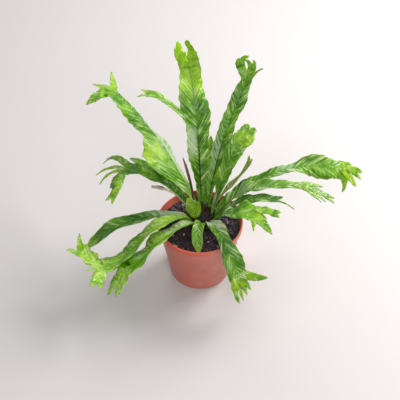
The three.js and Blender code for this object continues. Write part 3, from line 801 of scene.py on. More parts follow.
@dataclass(frozen=True)
class LeafFinish:
    """A living leaf: mottled green with a pleated sheen, a rib, a yellower crest and browned tips."""

    deep: Colour
    light: Colour
    crest: Colour
    # The sheen is a painted reflection of the sky, and the streak colour the painted highlight along the
    # side veins
    sheen: Colour = srgb(200, 222, 186)
    highlight_streak: Colour = srgb(222, 240, 168)
    rib: Colour = srgb(70, 96, 24)
    stipe: Colour = srgb(40, 26, 20)
    stipe_ends: float = 14.0
    foot_ends: float = 16.0
    rib_strength: float = 0.3
    brown: Colour = srgb(96, 66, 30)
    browning: float = 0.75
    gloss: float = 0.3
    glow: float = 0.3
    slant: float = VEIN_SLANT

    def skin(self, g: Graph) -> Socket:
        """The leaf's green: patches, shade, a yellower crest and edge, the sky's sheen and painted
        highlight streaks.

        Args:
            g: The material's nodes.

        Returns:
            The colour before the rib and any wear.
        """
        streaks, shine = self.streaks(g), g.mark("shine")
        green = g.mix(LEAF.light_patches.over(g), self.deep, self.light)
        colour = self.shaded(g, green, streaks)
        colour = self.lit(g, self.yellowed_and_glowing(g, colour, shine), streaks, shine)
        return g.mix(g.step(g.mark("edge"), *LEAF.edge_band), colour, self.crest)

    def shaded(self, g: Graph, colour: Socket, streaks: Socket) -> Socket:
        """Darkens the hollows of the pleats and the lows of the streaks.

        Args:
            g: The material's nodes.
            colour: The colour so far.
            streaks: The noise along the side veins.

        Returns:
            The colour with its shade.
        """
        shade = tuple(LEAF.shade_share * channel for channel in self.deep)
        colour = g.mix(g.step(g.mark("pleat"), *LEAF.hollow_band), colour, shade)
        return g.mix(g.step(streaks, *LEAF.shade_band), colour, shade)

    def yellowed_and_glowing(self, g: Graph, colour: Socket, shine: Socket) -> Socket:
        """Turns the crest yellower towards its tips, and paints a glow of light through the blade,
        yellow-green, in patches.

        Args:
            g: The material's nodes.
            colour: The colour so far.
            shine: The mark of the frond's stretches, below 0 where a glow is painted.

        Returns:
            The yellowed colour with its painted glow.
        """
        young = g.times(g.step(g.mark("tip"), *LEAF.young_band), LEAF.young_patches.over(g))
        colour = g.mix(young, colour, self.crest)
        patchy = g.times(g.noise(*LEAF.glow_noise), LEAF.wave_weight)
        glowing = g.minus(patchy, g.times(shine, LEAF.shine_weight))
        return g.mix(g.step(glowing, *LEAF.glow_band), colour, self.crest)

    def lit(self, g: Graph, colour: Socket, streaks: Socket, shine: Socket) -> Socket:
        """Lays the sky's sheen, and pale lines of painted highlight along the side veins.

        Args:
            g: The material's nodes.
            colour: The colour so far.
            streaks: The noise along the side veins.
            shine: The mark of the frond's stretches, above 0 where the sky shows.

        Returns:
            The colour with sheen and painted highlight lines.
        """
        patchy = g.times(g.noise(*LEAF.sheen_noise), LEAF.wave_weight)
        glossy = g.plus(patchy, g.times(shine, LEAF.shine_weight))
        glossy = g.plus(glossy, g.times(g.minus(streaks, 0.5), LEAF.streak_weight))
        colour = g.mix(g.step(glossy, *LEAF.sheen_band), colour, self.sheen)
        lined = g.plus(g.noise(*LEAF.line_noise), g.times(shine, LEAF.line_weight))
        where = g.step(lined, *LEAF.line_gaps)
        return g.mix(g.times(g.step(streaks, *LEAF.line_band), where), colour, self.highlight_streak)

    def streaks(self, g: Graph) -> Socket:
        """Noise drawn out along the side veins: uneven lines, a few millimetres from one to the next,
        that place painted shade and painted highlights.

        Args:
            g: The material's nodes.

        Returns:
            A number about 0.5 that runs from 0.2 in the dark lines of painted shade to 0.8 in the pale
            ones of painted highlight.
        """
        across = g.mark("across")
        run = g.minus(g.mark("along"), g.times(g.maths("ABSOLUTE", across), self.slant))
        spot = g.node(
            "CombineXYZ",
            X=g.maths("DIVIDE", run, STREAK_STEP),
            Y=g.maths("DIVIDE", across, STREAK_LENGTH),
            Z=g.times(g.noise(*LEAF.stray_noise), LEAF.stray),
        )
        lines = g.node("TexNoise", Vector=spot.outputs[0], Scale=1.0, Detail=2.0, Roughness=0.5)
        return lines.outputs["Fac"]

    def veins(self, g: Graph) -> Socket:
        """Fine lines that leave the rib forwards at a slant, from the marks along and across.

        They are a sine of the distance along, less VEIN_SLANT times the distance from the rib, bent
        a little by noise.

        Args:
            g: The material's nodes.

        Returns:
            1 on a line and 0 between two.
        """
        off = g.maths("ABSOLUTE", g.mark("across"))
        run = g.minus(g.mark("along"), g.times(off, VEIN_SLANT))
        bend = g.times(g.noise(*LEAF.bend_noise), LEAF.bend)
        wave = g.maths("SINE", g.times(g.plus(run, bend), TAU / VEIN_STEP))
        return g.step(wave, *LEAF.vein_band)

    def ribbed(self, g: Graph, colour: Socket) -> Socket:
        """Darkens the rib, most on its lower part and least in the crest, and the foot of the stem.

        Args:
            g: The material's nodes.
            colour: The blade's colour.

        Returns:
            The colour with its rib.
        """
        along, off = g.mark("along"), g.maths("ABSOLUTE", g.mark("across"))
        rib = g.times(g.step(off, *LEAF.rib_band), g.step(g.mark("tip"), *LEAF.rib_fades))
        dark = g.step(along, *(share * self.stipe_ends for share in LEAF.stipe_band))
        rib_colour = g.mix(dark, self.rib, self.stipe)
        more = LEAF.stipe_strength - self.rib_strength
        strength = g.plus(g.times(dark, more), self.rib_strength)
        colour = g.mix(g.times(rib, strength), colour, rib_colour)
        foot = g.step(along, self.foot_ends, 0.5 * self.foot_ends, LEAF.foot_strength)
        return g.mix(foot, colour, self.stipe)

    def worn(self, g: Graph, colour: Socket) -> Socket:
        """Browns the last of the tips and a few spots along the edges.

        Args:
            g: The material's nodes.
            colour: The colour so far.

        Returns:
            The worn colour.
        """
        tip, edge = g.mark("tip"), g.mark("edge")
        ends = g.times(g.step(tip, *LEAF.ends_band), LEAF.brown_ends.over(g))
        spots = g.times(g.step(edge, *LEAF.spots_band), LEAF.brown_spots.over(g))
        amount = g.times(g.maths("MAXIMUM", ends, spots), self.browning)
        return g.mix(amount, colour, self.brown)

    def material(self, name: str) -> bpy.types.Material:
        """Makes the material.

        Args:
            name: The material's name.

        Returns:
            A glossy leaf that lets some light through.
        """
        g = Graph(name)
        colour = self.worn(g, self.ribbed(g, self.skin(g)))
        relief = g.plus(g.times(self.veins(g), LEAF.vein_weight), g.noise(*LEAF.fine_noise))
        normal = g.bump(relief, LEAF.relief)
        smoothest = self.gloss - 0.5 * LEAF.gloss_spread
        rough = Grain(LEAF.gloss_noise, LEAF.gloss_spread, smoothest).over(g)
        skin = g.node("BsdfPrincipled", Base_Color=colour, Roughness=rough, Normal=normal,
                      Specular_IOR_Level=LEAF.specular)
        glowing = g.mix(LEAF.through_crest, colour, self.crest)
        through = g.node("BsdfTranslucent", Color=glowing, Normal=normal)
        both = g.node("MixShader")
        for socket, value in zip(both.inputs, (self.glow, skin.outputs[0], through.outputs[0])):
            g.feed(socket, value)
        return g.finish(both.outputs[0])


BRIGHT_LEAF = LeafFinish(deep=srgb(104, 172, 0), light=srgb(164, 216, 20), crest=srgb(206, 232, 30))
# A brighter copy of the leaf for the left fronds: painted light, where the lamps light them too little
PAINTED_SUNLIT_LEAF = LeafFinish(
    deep=srgb(136, 208, 20), light=srgb(196, 242, 64), crest=srgb(190, 234, 40),
    sheen=srgb(226, 242, 190), highlight_streak=srgb(240, 250, 204), glow=0.36, slant=2.4,
)
MID_LEAF = LeafFinish(deep=srgb(76, 150, 0), light=srgb(138, 202, 24), crest=srgb(184, 222, 16))
# MID_LEAF with a paler painted sheen and paler painted highlights
PALER_SHEEN_LEAF = replace(MID_LEAF, sheen=srgb(232, 242, 214), highlight_streak=srgb(236, 246, 196))
PALE_LEAF = LeafFinish(deep=srgb(84, 150, 20), light=srgb(142, 196, 56), crest=srgb(168, 206, 70))
DARK_LEAF = LeafFinish(deep=srgb(58, 126, 4), light=srgb(108, 174, 30), crest=srgb(146, 198, 24))
TALL_LEAF = LeafFinish(
    deep=srgb(70, 144, 0), light=srgb(132, 198, 26), crest=srgb(176, 222, 0), stipe_ends=120.0,
    foot_ends=30.0, rib_strength=0.4,
)
OLIVE_LEAF = LeafFinish(
    deep=srgb(178, 184, 112), light=srgb(222, 224, 176), crest=srgb(188, 220, 120),
    rib=srgb(150, 130, 96), stipe=srgb(120, 100, 80), sheen=srgb(216, 220, 190),
    highlight_streak=srgb(220, 224, 180), gloss=0.4, glow=0.5,
)
KNOB_LEAF = LeafFinish(
    deep=srgb(150, 134, 116), light=srgb(200, 188, 168), crest=srgb(206, 194, 174),
    rib=srgb(150, 134, 116), sheen=srgb(190, 182, 170), highlight_streak=srgb(190, 182, 170),
    browning=0.0, gloss=0.5, glow=0.05,
)
PURPLE_LEAF = LeafFinish(
    deep=srgb(80, 50, 44), light=srgb(118, 82, 66), crest=srgb(110, 88, 60), rib=srgb(60, 38, 34),
    sheen=srgb(150, 124, 112), highlight_streak=srgb(140, 112, 92), browning=1.0, gloss=0.4, glow=0.1,
)

# Each green tone's finish, and the fronds that have one of their own; every dry one has
TONE_FINISHES = {Tone.BRIGHT: BRIGHT_LEAF, Tone.MID: MID_LEAF, Tone.DARK: DARK_LEAF}
OWN_FINISHES = {
    "stem_knobbed": KNOB_LEAF,
    "frond_dry_upright": PURPLE_LEAF,
    "frond_left_upper": PAINTED_SUNLIT_LEAF,
    "frond_left_lower": PAINTED_SUNLIT_LEAF,
    "frond_back_left": MID_LEAF,
    "frond_back_tall": TALL_LEAF,
    "frond_right_tall": TALL_LEAF,
    "frond_right_dry": OLIVE_LEAF,
    "frond_right_mid": PALE_LEAF,
    "frond_right_low": MID_LEAF,
    "frond_right_bright": MID_LEAF,
    "frond_front_hanging": PALER_SHEEN_LEAF,
}

# The fronds whose crests have round lobes
BLUNT_CRESTS = ("frond_back_tall", "frond_right_bright")


@dataclass(frozen=True)
class Shine:
    """A stretch of one half of a blade, in shares of its length, that the light catches.

    A strength above 0 is the pale sheen of the sky, and one below 0 a yellow-green glow. The side is
    1 for the left half, -1 for the right one and 0 for both. soft is the share of its own length over
    which it comes and goes, and cut is how sharply a half's stretch ends at the rib.
    """

    start: float
    end: float
    side: int
    strength: float
    soft: float = 0.4
    cut: float = 2.5


# Where each frond shines or glows
SHINES = {
    "frond_back_tall": (Shine(0.4, 0.72, 1, 1.0), Shine(0.66, 1.4, 0, -0.8), Shine(0.1, 0.55, -1, 0.5)),
    "frond_back_left": (Shine(0.1, 0.85, -1, 0.9), Shine(0.36, 0.62, 1, -0.75), Shine(0.1, 0.34, 1, 0.4)),
    "frond_right_tall": (Shine(0.2, 0.8, 1, 0.7), Shine(0.5, 0.85, -1, -0.5)),
    "frond_right_bright": (Shine(0.3, 1.1, 0, -0.2), Shine(0.1, 0.6, 1, 0.4)),
    "frond_right_long": (Shine(0.5, 0.76, 0, 0.7), Shine(0.74, 1.3, 0, -0.4), Shine(0.1, 0.5, 1, 0.3)),
    "frond_right_low": (Shine(0.4, 0.8, 0, 0.5), Shine(0.7, 1.3, 0, -0.4)),
    "frond_right_mid": (Shine(0.1, 0.9, 0, 0.5),),
    "frond_right_dark": (Shine(0.25, 0.65, 1, 0.6),),
    "frond_left_upper": (Shine(0.7, 1.3, 0, -0.4), Shine(0.05, 0.6, 0, -0.5)),
    "frond_left_lower": (
        Shine(0.02, 0.62, -1, 0.9), Shine(0.65, 1.3, 0, -0.4), Shine(0.02, 0.62, 1, -0.35),
    ),
    "frond_left_arched": (Shine(0.08, 0.4, 0, 1.0), Shine(0.5, 0.95, 0, -0.35)),
    "frond_front_hanging": (Shine(0.1, 0.6, 1, 1.0), Shine(0.05, 0.5, -1, 0.9)),
    "frond_left_hand": (Shine(0.2, 0.8, -1, 0.4),),
}


@dataclass(frozen=True)
class Edge:
    """How every blade's edge is worked, in millimetres and in shares of the frond's ruffle.

    A blade is plain while it is narrow, and its waves grow as it widens. Scallops and nicks change
    the width; waves and ripples lift the edge, and lean forwards by a share of the distance from the
    rib. A blade with no crest closes in a rounded tip. The pleats' phase drifts slowly along the
    blade, by radians, and strays a little across it. They rise beside the rib and sink towards the
    edge, where the blade thins too.
    """

    plain_below: float = 3.0
    grows_over: float = 6.0
    full_wave_at: float = 12.0
    scallop_share: float = 0.033
    scallop_pace: float = 0.85
    scallop_start: float = 33.0
    scallop_short: float = 14.0
    scallop_short_share: float = 0.4
    nick_share: float = 0.015
    nick_step: float = 5.3
    nick_group: float = 17.0
    wave_lean: float = 0.5
    wave_power: float = 1.5
    ripple_share: float = 0.1
    ripple_step: float = 9.5
    ripple_lean: float = 0.8
    ripple_sway: float = 1.7
    closes_over: float = 14.0
    closing_power: float = 0.6
    tip_power: float = 6.0
    pleat_drift: float = 1.1
    drift_length: float = 11.0
    pleat_stray: float = 0.6
    stray_length: float = 6.3
    stray_width: float = 5.0
    pleat_rise: float = 4.0
    pleat_ends: float = 1.05
    thins_by: float = 0.45
    thins_power: float = 4.0
    rib_spread: float = 1.2


@dataclass(frozen=True)
class Crest:
    """What every lobe of a crest shares, in millimetres and in shares of the lobe's width.

    The two edges' waves are apart by a phase, in radians. Along a lobe that forks, the mark called
    tip rises to tip_at_fork, from the share tip_start of it.
    """

    turns_over: float = 14.0
    joins_over: float = 9.0
    fades_over: float = 8.0
    widens_over: float = 12.0
    widens_within: float = 0.7
    waves_from: float = 10.0
    wave_share: float = 0.16
    wave_step: float = 17.0
    waves_apart: float = 2.2
    nick_share: float = 0.06
    nick_step: float = 6.1
    cup: float = 0.12
    blunt_cup: float = 0.34
    pleat_share: float = 0.7
    pleat_rise: float = 3.0
    pleat_ends: float = 1.15
    tip_at_fork: float = 0.6
    tip_start: float = 0.35
    rib: float = 1.25
    least_rows: int = 8


EDGE = Edge()
CREST = Crest()


def cuts(lobes: tuple[Lobe, ...], start: float, end: float) -> list[tuple[float, float]]:
    """Shares out an edge among the lobes that grow from it, by their shares.

    Args:
        lobes: The lobes; with none, the edge stays whole.
        start: The edge's first value across the row.
        end: Its last value.

    Returns:
        The first and last value of each lobe that doesn't fork further, in order.
    """
    if not lobes:
        return [(start, end)]
    whole = sum(each.share for each in lobes)
    parts: list[tuple[float, float]] = []
    for each in lobes:
        stop = start + (end - start) * each.share / whole
        parts += cuts(each.lobes, start, stop)
        start = stop
    return parts


def marked(*values: np.ndarray | float) -> np.ndarray:
    """Stacks marks, each given by row, by column, by point or as one number for all."""
    return np.stack(np.broadcast_arrays(*values), axis=-1)


@dataclass
class FrondSurface:
    """The fine sheet of one frond: a blade of rows along the midrib and a crest of forked lobes."""

    form: Frond
    seed: int
    row_step: float = 1.15
    column_step: float = 1.3
    least_columns: int = 6
    phase_count: int = 16

    def __post_init__(self) -> None:
        """Draws the frond's phases, shares out its columns and finds where its stem stands."""
        self.phases = TAU * chance(self.seed, self.phase_count)
        self.sheet = Sheet()
        self.blunt = self.form.node in BLUNT_CRESTS
        self.parts = cuts(self.form.lobes, 1.0, -1.0)
        fine = max(self.least_columns, round(2 * max(self.form.width) / self.column_step))
        self.per_leaf = 2 * max(2, math.ceil(fine / len(self.parts) / 2))
        azimuth, radius = math.radians(self.form.seat[0]), self.form.seat[1]
        self.foot = np.array([
            CROWN_MIDDLE[0] + radius * math.cos(azimuth),
            CROWN_MIDDLE[1] + radius * math.sin(azimuth),
            SEAT_HEIGHT,
        ])

    def angles(self, s: np.ndarray) -> tuple[np.ndarray, ...]:
        """Pitch, yaw and roll along the frond; a stem leaves steeply and bends to its own pitch.

        Args:
            s: The share of the frond's length.

        Returns:
            Degrees of pitch, yaw and roll at each s.
        """
        f = self.form
        steeper = (1 - ease(s * f.length / STEM_BEND)) * (STEM_RISE - f.pitch[0])
        return stations(f.pitch, s) + steeper, stations(f.yaw, s), stations(f.roll, s)

    def half_width(self, at: np.ndarray) -> np.ndarray:
        """Half the blade's width: the bare stem's, and past it that of the stations.

        Args:
            at: Distances along the frond.

        Returns:
            The half-width at each.
        """
        f = self.form
        opened = ease((at - STEM_LENGTH) / BLADE_OPENS)
        return f.width[0] + (stations(f.width, at / f.length) - f.width[0]) * opened

    def columns(self) -> np.ndarray:
        """Values across a row, from 1 at the left edge to -1, with one on every cut of the crest."""
        pieces = [np.linspace(a, b, self.per_leaf + 1)[:-1] for a, b in self.parts]
        return np.concatenate([*pieces, [-1.0]])

    def blade_points(self, spine: Spine, v: np.ndarray) -> tuple[np.ndarray, np.ndarray, np.ndarray]:
        """Lays the blade out from its midrib.

        The edge is scalloped, ruffled in long waves that grow with the distance from the midrib to
        the power 1.5, rippled finely beyond the middle, and the two halves are folded up. The long
        waves are counted back from the blade's end, so that a longer beat leaves the crest as it is.

        Args:
            spine: The midrib's stops.
            v: Values across a row, 1 at the left edge and -1 at the right one.

        Returns:
            The points, rows by columns by 3, each one's distance from the midrib and its pleat.
        """
        f, ph = self.form, self.phases
        at, s = spine.at[:, None], spine.at / f.length
        side = np.where(v >= 0, 1.0, -1.0)[None, :]
        plain = self.half_width(spine.at)[:, None] * (1 + side * f.uneven)
        grown = ease((plain - EDGE.plain_below) / EDGE.grows_over)
        phase = np.where(side > 0, ph[0], ph[1])
        to_end = TAU * (at - f.length) / f.beat
        long = np.sin(EDGE.scallop_pace * to_end + TAU * f.length / EDGE.scallop_start + phase)
        short = EDGE.scallop_short_share * np.sin(TAU * at / EDGE.scallop_short + 2 * phase)
        scallop = EDGE.scallop_share * f.ruffle * (long + short)
        nick = EDGE.nick_share * np.sin(TAU * at / EDGE.nick_step + 3 * phase)
        nick = nick * np.sin(TAU * at / EDGE.nick_group + phase)
        to_close = np.clip((f.length - at) / EDGE.closes_over, 0, 1)
        closing = 1.0 if f.lobes else to_close**EDGE.closing_power
        width = plain * (1 + grown * (scallop + nick)) * closing
        y = np.abs(v)[None, :] * width
        height = f.ruffle * grown * np.minimum(1, width / EDGE.full_wave_at)
        sway = np.where(side > 0, ph[2], ph[3])
        turn = to_end + TAU * (f.length - EDGE.wave_lean * y) / SHORT_BEAT + sway
        wave = height * np.abs(v) ** EDGE.wave_power * np.sin(turn)
        turn = TAU * (at - EDGE.ripple_lean * y) / EDGE.ripple_step + EDGE.ripple_sway * sway
        ripple = EDGE.ripple_share * height * np.abs(v) ** 2 * np.sin(turn)
        pleat = self.pleats(at, y)
        ripple = ripple + PLEAT_DEPTH * pleat * grown * np.abs(v) * (EDGE.pleat_ends - np.abs(v))
        fold = np.radians(stations(f.keel, s))[:, None]
        out = side * y * np.cos(fold)
        up = y * np.sin(fold) + wave + ripple
        return spine.lay(out, up), side * y, pleat * ease(EDGE.pleat_rise * np.abs(v)) * grown

    def shine(self, share: np.ndarray, side: np.ndarray) -> np.ndarray:
        """How the light catches the blade, from the frond's own stretches.

        Args:
            share: The share of the frond's length, at each row.
            side: The value across, at each column.

        Returns:
            A number from -1 to 1 for each point.
        """
        total = np.zeros((len(share), len(side)))
        for each in SHINES.get(self.form.node, ()):
            soft = each.soft * (each.end - each.start)
            along = ease((share - each.start) / soft) * ease((each.end - share) / soft)
            across = ease(0.5 + each.cut * each.side * side) if each.side else np.ones(len(side))
            total += each.strength * along[:, None] * across[None, :]
        return np.clip(total, -1, 1)

    def pleats(self, at: np.ndarray, off: np.ndarray) -> np.ndarray:
        """Slanting pleats between the side veins, a sine from -1 to 1 whose phase drifts slowly.

        Args:
            at: Distances along.
            off: Distances from the midrib.

        Returns:
            The pleats' wave at each point.
        """
        drift = EDGE.pleat_drift * np.sin(at / EDGE.drift_length + self.phases[5])
        place = at / EDGE.stray_length + off / EDGE.stray_width
        stray = EDGE.pleat_stray * np.sin(place + self.phases[6])
        return np.sin(TAU * (at - VEIN_SLANT * off) / PLEAT_STEP + (drift + stray))

    def thickness(self, rib: np.ndarray | float, off: np.ndarray, v: np.ndarray) -> np.ndarray:
        """Half the thickness: a round rib at the midrib, and a blade that thins at its edge."""
        blade = BLADE_THICKNESS * (1 - EDGE.thins_by * np.abs(v) ** EDGE.thins_power)
        return 0.5 * (blade + (rib - BLADE_THICKNESS) * np.exp(-((off / EDGE.rib_spread) ** 2)))

    def grow_blade(self) -> None:
        """Adds the blade's rows and, past its last row, the crest."""
        f = self.form
        at = np.linspace(0, f.length, round(f.length / self.row_step) + 1)
        spine = walk(self.foot, np.eye(3), f.length, self.angles, at)
        v = self.columns()
        points, off, pleat = self.blade_points(spine, v)
        rib = stations(f.rib, at / f.length)[:, None]
        halves = self.thickness(rib, off, v[None, :])
        tip = 0.0 if f.lobes else (at[:, None] / f.length) ** EDGE.tip_power
        shine = self.shine(at / f.length, v)
        marks = marked(at[:, None], off, tip, np.abs(v)[None, :], pleat, shine)
        if f.lobes:
            grid = self.sheet.rows(points, halves, marks)
            self.sheet.weave(grid)
            self.split(grid[-1], v, spine.along[-1], f.lobes, f.length, 0)
            return
        grid = self.sheet.rows(points[:-1], halves[:-1], marks[:-1])
        self.sheet.weave(grid)
        self.close(grid[-1], spine, halves, marks)

    def close(self, row: np.ndarray, spine: Spine, halves: np.ndarray, marks: np.ndarray) -> None:
        """Closes a blade or a lobe to one point at the end of its middle line.

        Args:
            row: The places of its last row.
            spine: Its middle line.
            halves: Half the thickness, rows by columns.
            marks: The marks, rows by columns by number.
        """
        end = self.sheet.rows(spine.middle[-1:, None], halves[-1:, :1], marks[-1:, :1])
        self.sheet.fan(row, int(end[0, 0]))

    def split(self, row: np.ndarray, v: np.ndarray, ahead: np.ndarray, lobes: tuple[Lobe, ...],
              base: float, depth: int) -> None:
        """Shares the end row out among the lobes, and lets each grow on from its own stretch.

        Args:
            row: The row's places in the sheet.
            v: The row's values, from 1 to -1.
            ahead: The direction in which the blade ends.
            lobes: The lobes, from left to right.
            base: The distance from the frond's foot.
            depth: How many forks lie before this one.
        """
        first = 0
        for order, each in enumerate(lobes):
            last = first + self.per_leaf * len(cuts(each.lobes, 0.0, 1.0))
            self.grow_lobe(row[first:last + 1], v[first:last + 1], ahead, each, base, depth, order)
            first = last

    def grow_lobe(self, root: np.ndarray, root_v: np.ndarray, ahead: np.ndarray, form: Lobe,
                  base: float, depth: int, order: int) -> None:
        """Grows one lobe and what it forks into.

        It widens from its root, tapers to its tip as (1 - s^2.6)^0.75, or as (1 - s^5)^0.6 where the
        crest is blunt, turns at its root, hooks towards its tip and waves at its edges. Its first
        rows drift from the root's own points.

        Args:
            root: The places of the row that it grows from.
            root_v: That row's values.
            ahead: The direction in which the parent ends.
            form: The lobe.
            base: The distance from the frond's foot.
            depth: How many forks lie before this one.
            order: Its place among its siblings.
        """
        placed = np.vstack(self.sheet.points)
        left, right = placed[root[0]], placed[root[-1]]
        half = float(np.linalg.norm(left - right)) / 2
        across = (left - right) / (2 * half)
        along = ahead - across * (ahead @ across)
        along /= np.linalg.norm(along)
        rows = np.array([along, across, np.cross(along, across)])
        reach = min(CREST.turns_over, form.length)

        def angles(s: np.ndarray) -> tuple[np.ndarray, ...]:
            """Pitch, yaw and roll along the lobe: it turns within reach, then lifts, hooks and twists."""
            heading = form.turn * ease(s * form.length / reach) + form.hook * s**1.5
            return form.lift * s**1.3, heading, form.twist * s

        count = max(CREST.least_rows, round(form.length / self.row_step))
        at = np.linspace(0, form.length, count + 1)
        spine = walk((left + right) / 2, rows, form.length, angles, at)
        v = 1 - 2 * (root_v[0] - root_v) / (root_v[0] - root_v[-1])
        phase = self.phases[(4 + 3 * depth + order) % self.phase_count]
        points, off, pleat = self.lobe_points(spine, v, half, form, phase)
        drift = (1 - ease(at / CREST.joins_over))[:, None, None]
        points = points + (placed[root] - points[0])[None] * drift
        s = at[:, None] / form.length
        fade = ease(at / CREST.fades_over)[:, None]
        edge = np.abs(v)[None, :] * fade
        young = CREST.tip_start + (1 - CREST.tip_start) * s
        forked = CREST.tip_at_fork * fade
        tip = young * forked if form.lobes else np.maximum(forked, s**2)
        shine = self.shine((base + at) / self.form.length, root_v)
        marks = marked(base + at[:, None], off, tip, edge, pleat, shine)
        halves = self.thickness(CREST.rib, off, edge)
        if form.lobes:
            grid = self.sheet.rows(points[1:], halves[1:], marks[1:])
            self.sheet.weave(np.vstack([root[None], grid]))
            self.split(grid[-1], v, spine.along[-1], form.lobes, base + form.length, depth + 1)
            return
        grid = self.sheet.rows(points[1:-1], halves[1:-1], marks[1:-1])
        self.sheet.weave(np.vstack([root[None], grid]))
        self.close(grid[-1], spine, halves, marks)

    def lobe_points(self, spine: Spine, v: np.ndarray, root_half: float, form: Lobe,
                    phase: float) -> tuple[np.ndarray, np.ndarray, np.ndarray]:
        """Lays a lobe out from its middle line.

        Its width goes from its root's to its own, times the taper and small nicks. Its edges wave by
        a sine of the distance along, it is cupped by the distance across to the power 1.5, and pleats
        cross it.

        Args:
            spine: Its stops.
            v: Values across a row, from 1 to -1.
            root_half: Half the width of its root.
            form: The lobe.
            phase: The phase of its waves.

        Returns:
            The points, each one's signed distance from the middle line and its pleat.
        """
        at = spine.at[:, None]
        s = at / form.length
        taper = 1.0 if form.lobes else (1 - s**5) ** 0.6 if self.blunt else (1 - s**2.6) ** 0.75
        widening = ease(at / min(CREST.widens_over, CREST.widens_within * form.length))
        width = root_half + (form.width - root_half) * widening
        fade = ease(at / CREST.fades_over)
        nick = CREST.nick_share * fade * np.sin(TAU * at / CREST.nick_step + 2 * phase)
        width = width * taper * (1 + nick)
        off = v[None, :] * width
        wave = CREST.wave_share * width * ease(at / CREST.waves_from) if self.form.ruffle > 0 else 0.0
        apart = np.where(v > 0, CREST.waves_apart, 0.0)[None, :]
        ripple = np.sin(TAU * at / CREST.wave_step + phase + apart)
        cupped = CREST.blunt_cup if self.blunt else CREST.cup
        up = wave * np.abs(v)[None, :] * ripple + cupped * width * np.abs(v)[None, :] ** 1.5
        pleat = self.pleats(at, np.abs(off)) * fade * ease(CREST.pleat_rise * np.abs(v))
        up = up + CREST.pleat_share * PLEAT_DEPTH * pleat * np.abs(v) * (CREST.pleat_ends - np.abs(v))
        return spine.lay(off, up), off, pleat

    def build(self) -> bpy.types.Object:
        """Grows the whole frond, makes its piece and dresses it.

        Returns:
            The frond's piece.
        """
        self.grow_blade()
        points, four, three, marks = self.sheet.solid()
        names = ("along", "across", "tip", "edge", "pleat", "shine")
        values = {name: marks[:, k] for k, name in enumerate(names)}
        piece = make_piece("leaf_of_" + self.form.node, points, [four, three], values)
        finish = OWN_FINISHES.get(self.form.node) or TONE_FINISHES[self.form.tone]
        piece.data.materials.append(finish.material("finish_of_" + self.form.node))
        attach(piece, "root")
        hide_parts(self.form.node)
        return piece


def lathe(profile: np.ndarray, sides: int) -> tuple[np.ndarray, list[np.ndarray]]:
    """Turns a profile about the Z axis: each radius times the cosine and sine of the turn.

    Args:
        profile: Radius and height of each point; the first and the last lie on the axis.
        sides: How many columns go round.

    Returns:
        Points, and faces that point outwards where the profile runs outwards along the bottom.
    """
    inner = profile[1:-1]
    turn = TAU * np.arange(sides) / sides
    ring = np.stack([np.cos(turn), np.sin(turn)], axis=-1)
    heights = np.repeat(inner[:, None, 1:], sides, axis=1)
    wall = np.concatenate([inner[:, None, :1] * ring[None], heights], axis=-1)
    count = len(inner) * sides
    ends = np.array([[0, 0, profile[0, 1]], [0, 0, profile[-1, 1]]])
    points = np.vstack([wall.reshape(-1, 3), ends])
    grid = np.arange(count).reshape(len(inner), sides)
    grid = np.hstack([grid, grid[:, :1]])
    low = np.stack([grid[0, 1:], grid[0, :-1], np.full(sides, count)], axis=-1)
    high = np.stack([grid[-1, :-1], grid[-1, 1:], np.full(sides, count + 1)], axis=-1)
    return points, [grid_faces(grid), np.vstack([low, high])]


def rounded(profile: list[tuple[float, float]], reach: float, steps: int = 4) -> np.ndarray:
    """Rounds a profile's corners.

    Args:
        profile: The corners.
        reach: How far before and after a corner its arc starts and ends.
        steps: How many pieces an arc has.

    Returns:
        The profile with each inner corner replaced by a quadratic arc.
    """
    p = np.asarray(profile, float)
    out = [p[:1]]
    t = np.linspace(0, 1, steps + 1)[:, None]
    for before, corner, after in zip(p[:-2], p[1:-1], p[2:]):
        to_before, to_after = before - corner, after - corner
        lengths = np.linalg.norm(to_before), np.linalg.norm(to_after)
        near = min(reach, ARC_SHARE * lengths[0], ARC_SHARE * lengths[1])
        a = corner + to_before / lengths[0] * near
        b = corner + to_after / lengths[1] * near
        out.append((1 - t) ** 2 * a + 2 * t * (1 - t) * corner + t**2 * b)
    return np.vstack([*out, p[-1:]])


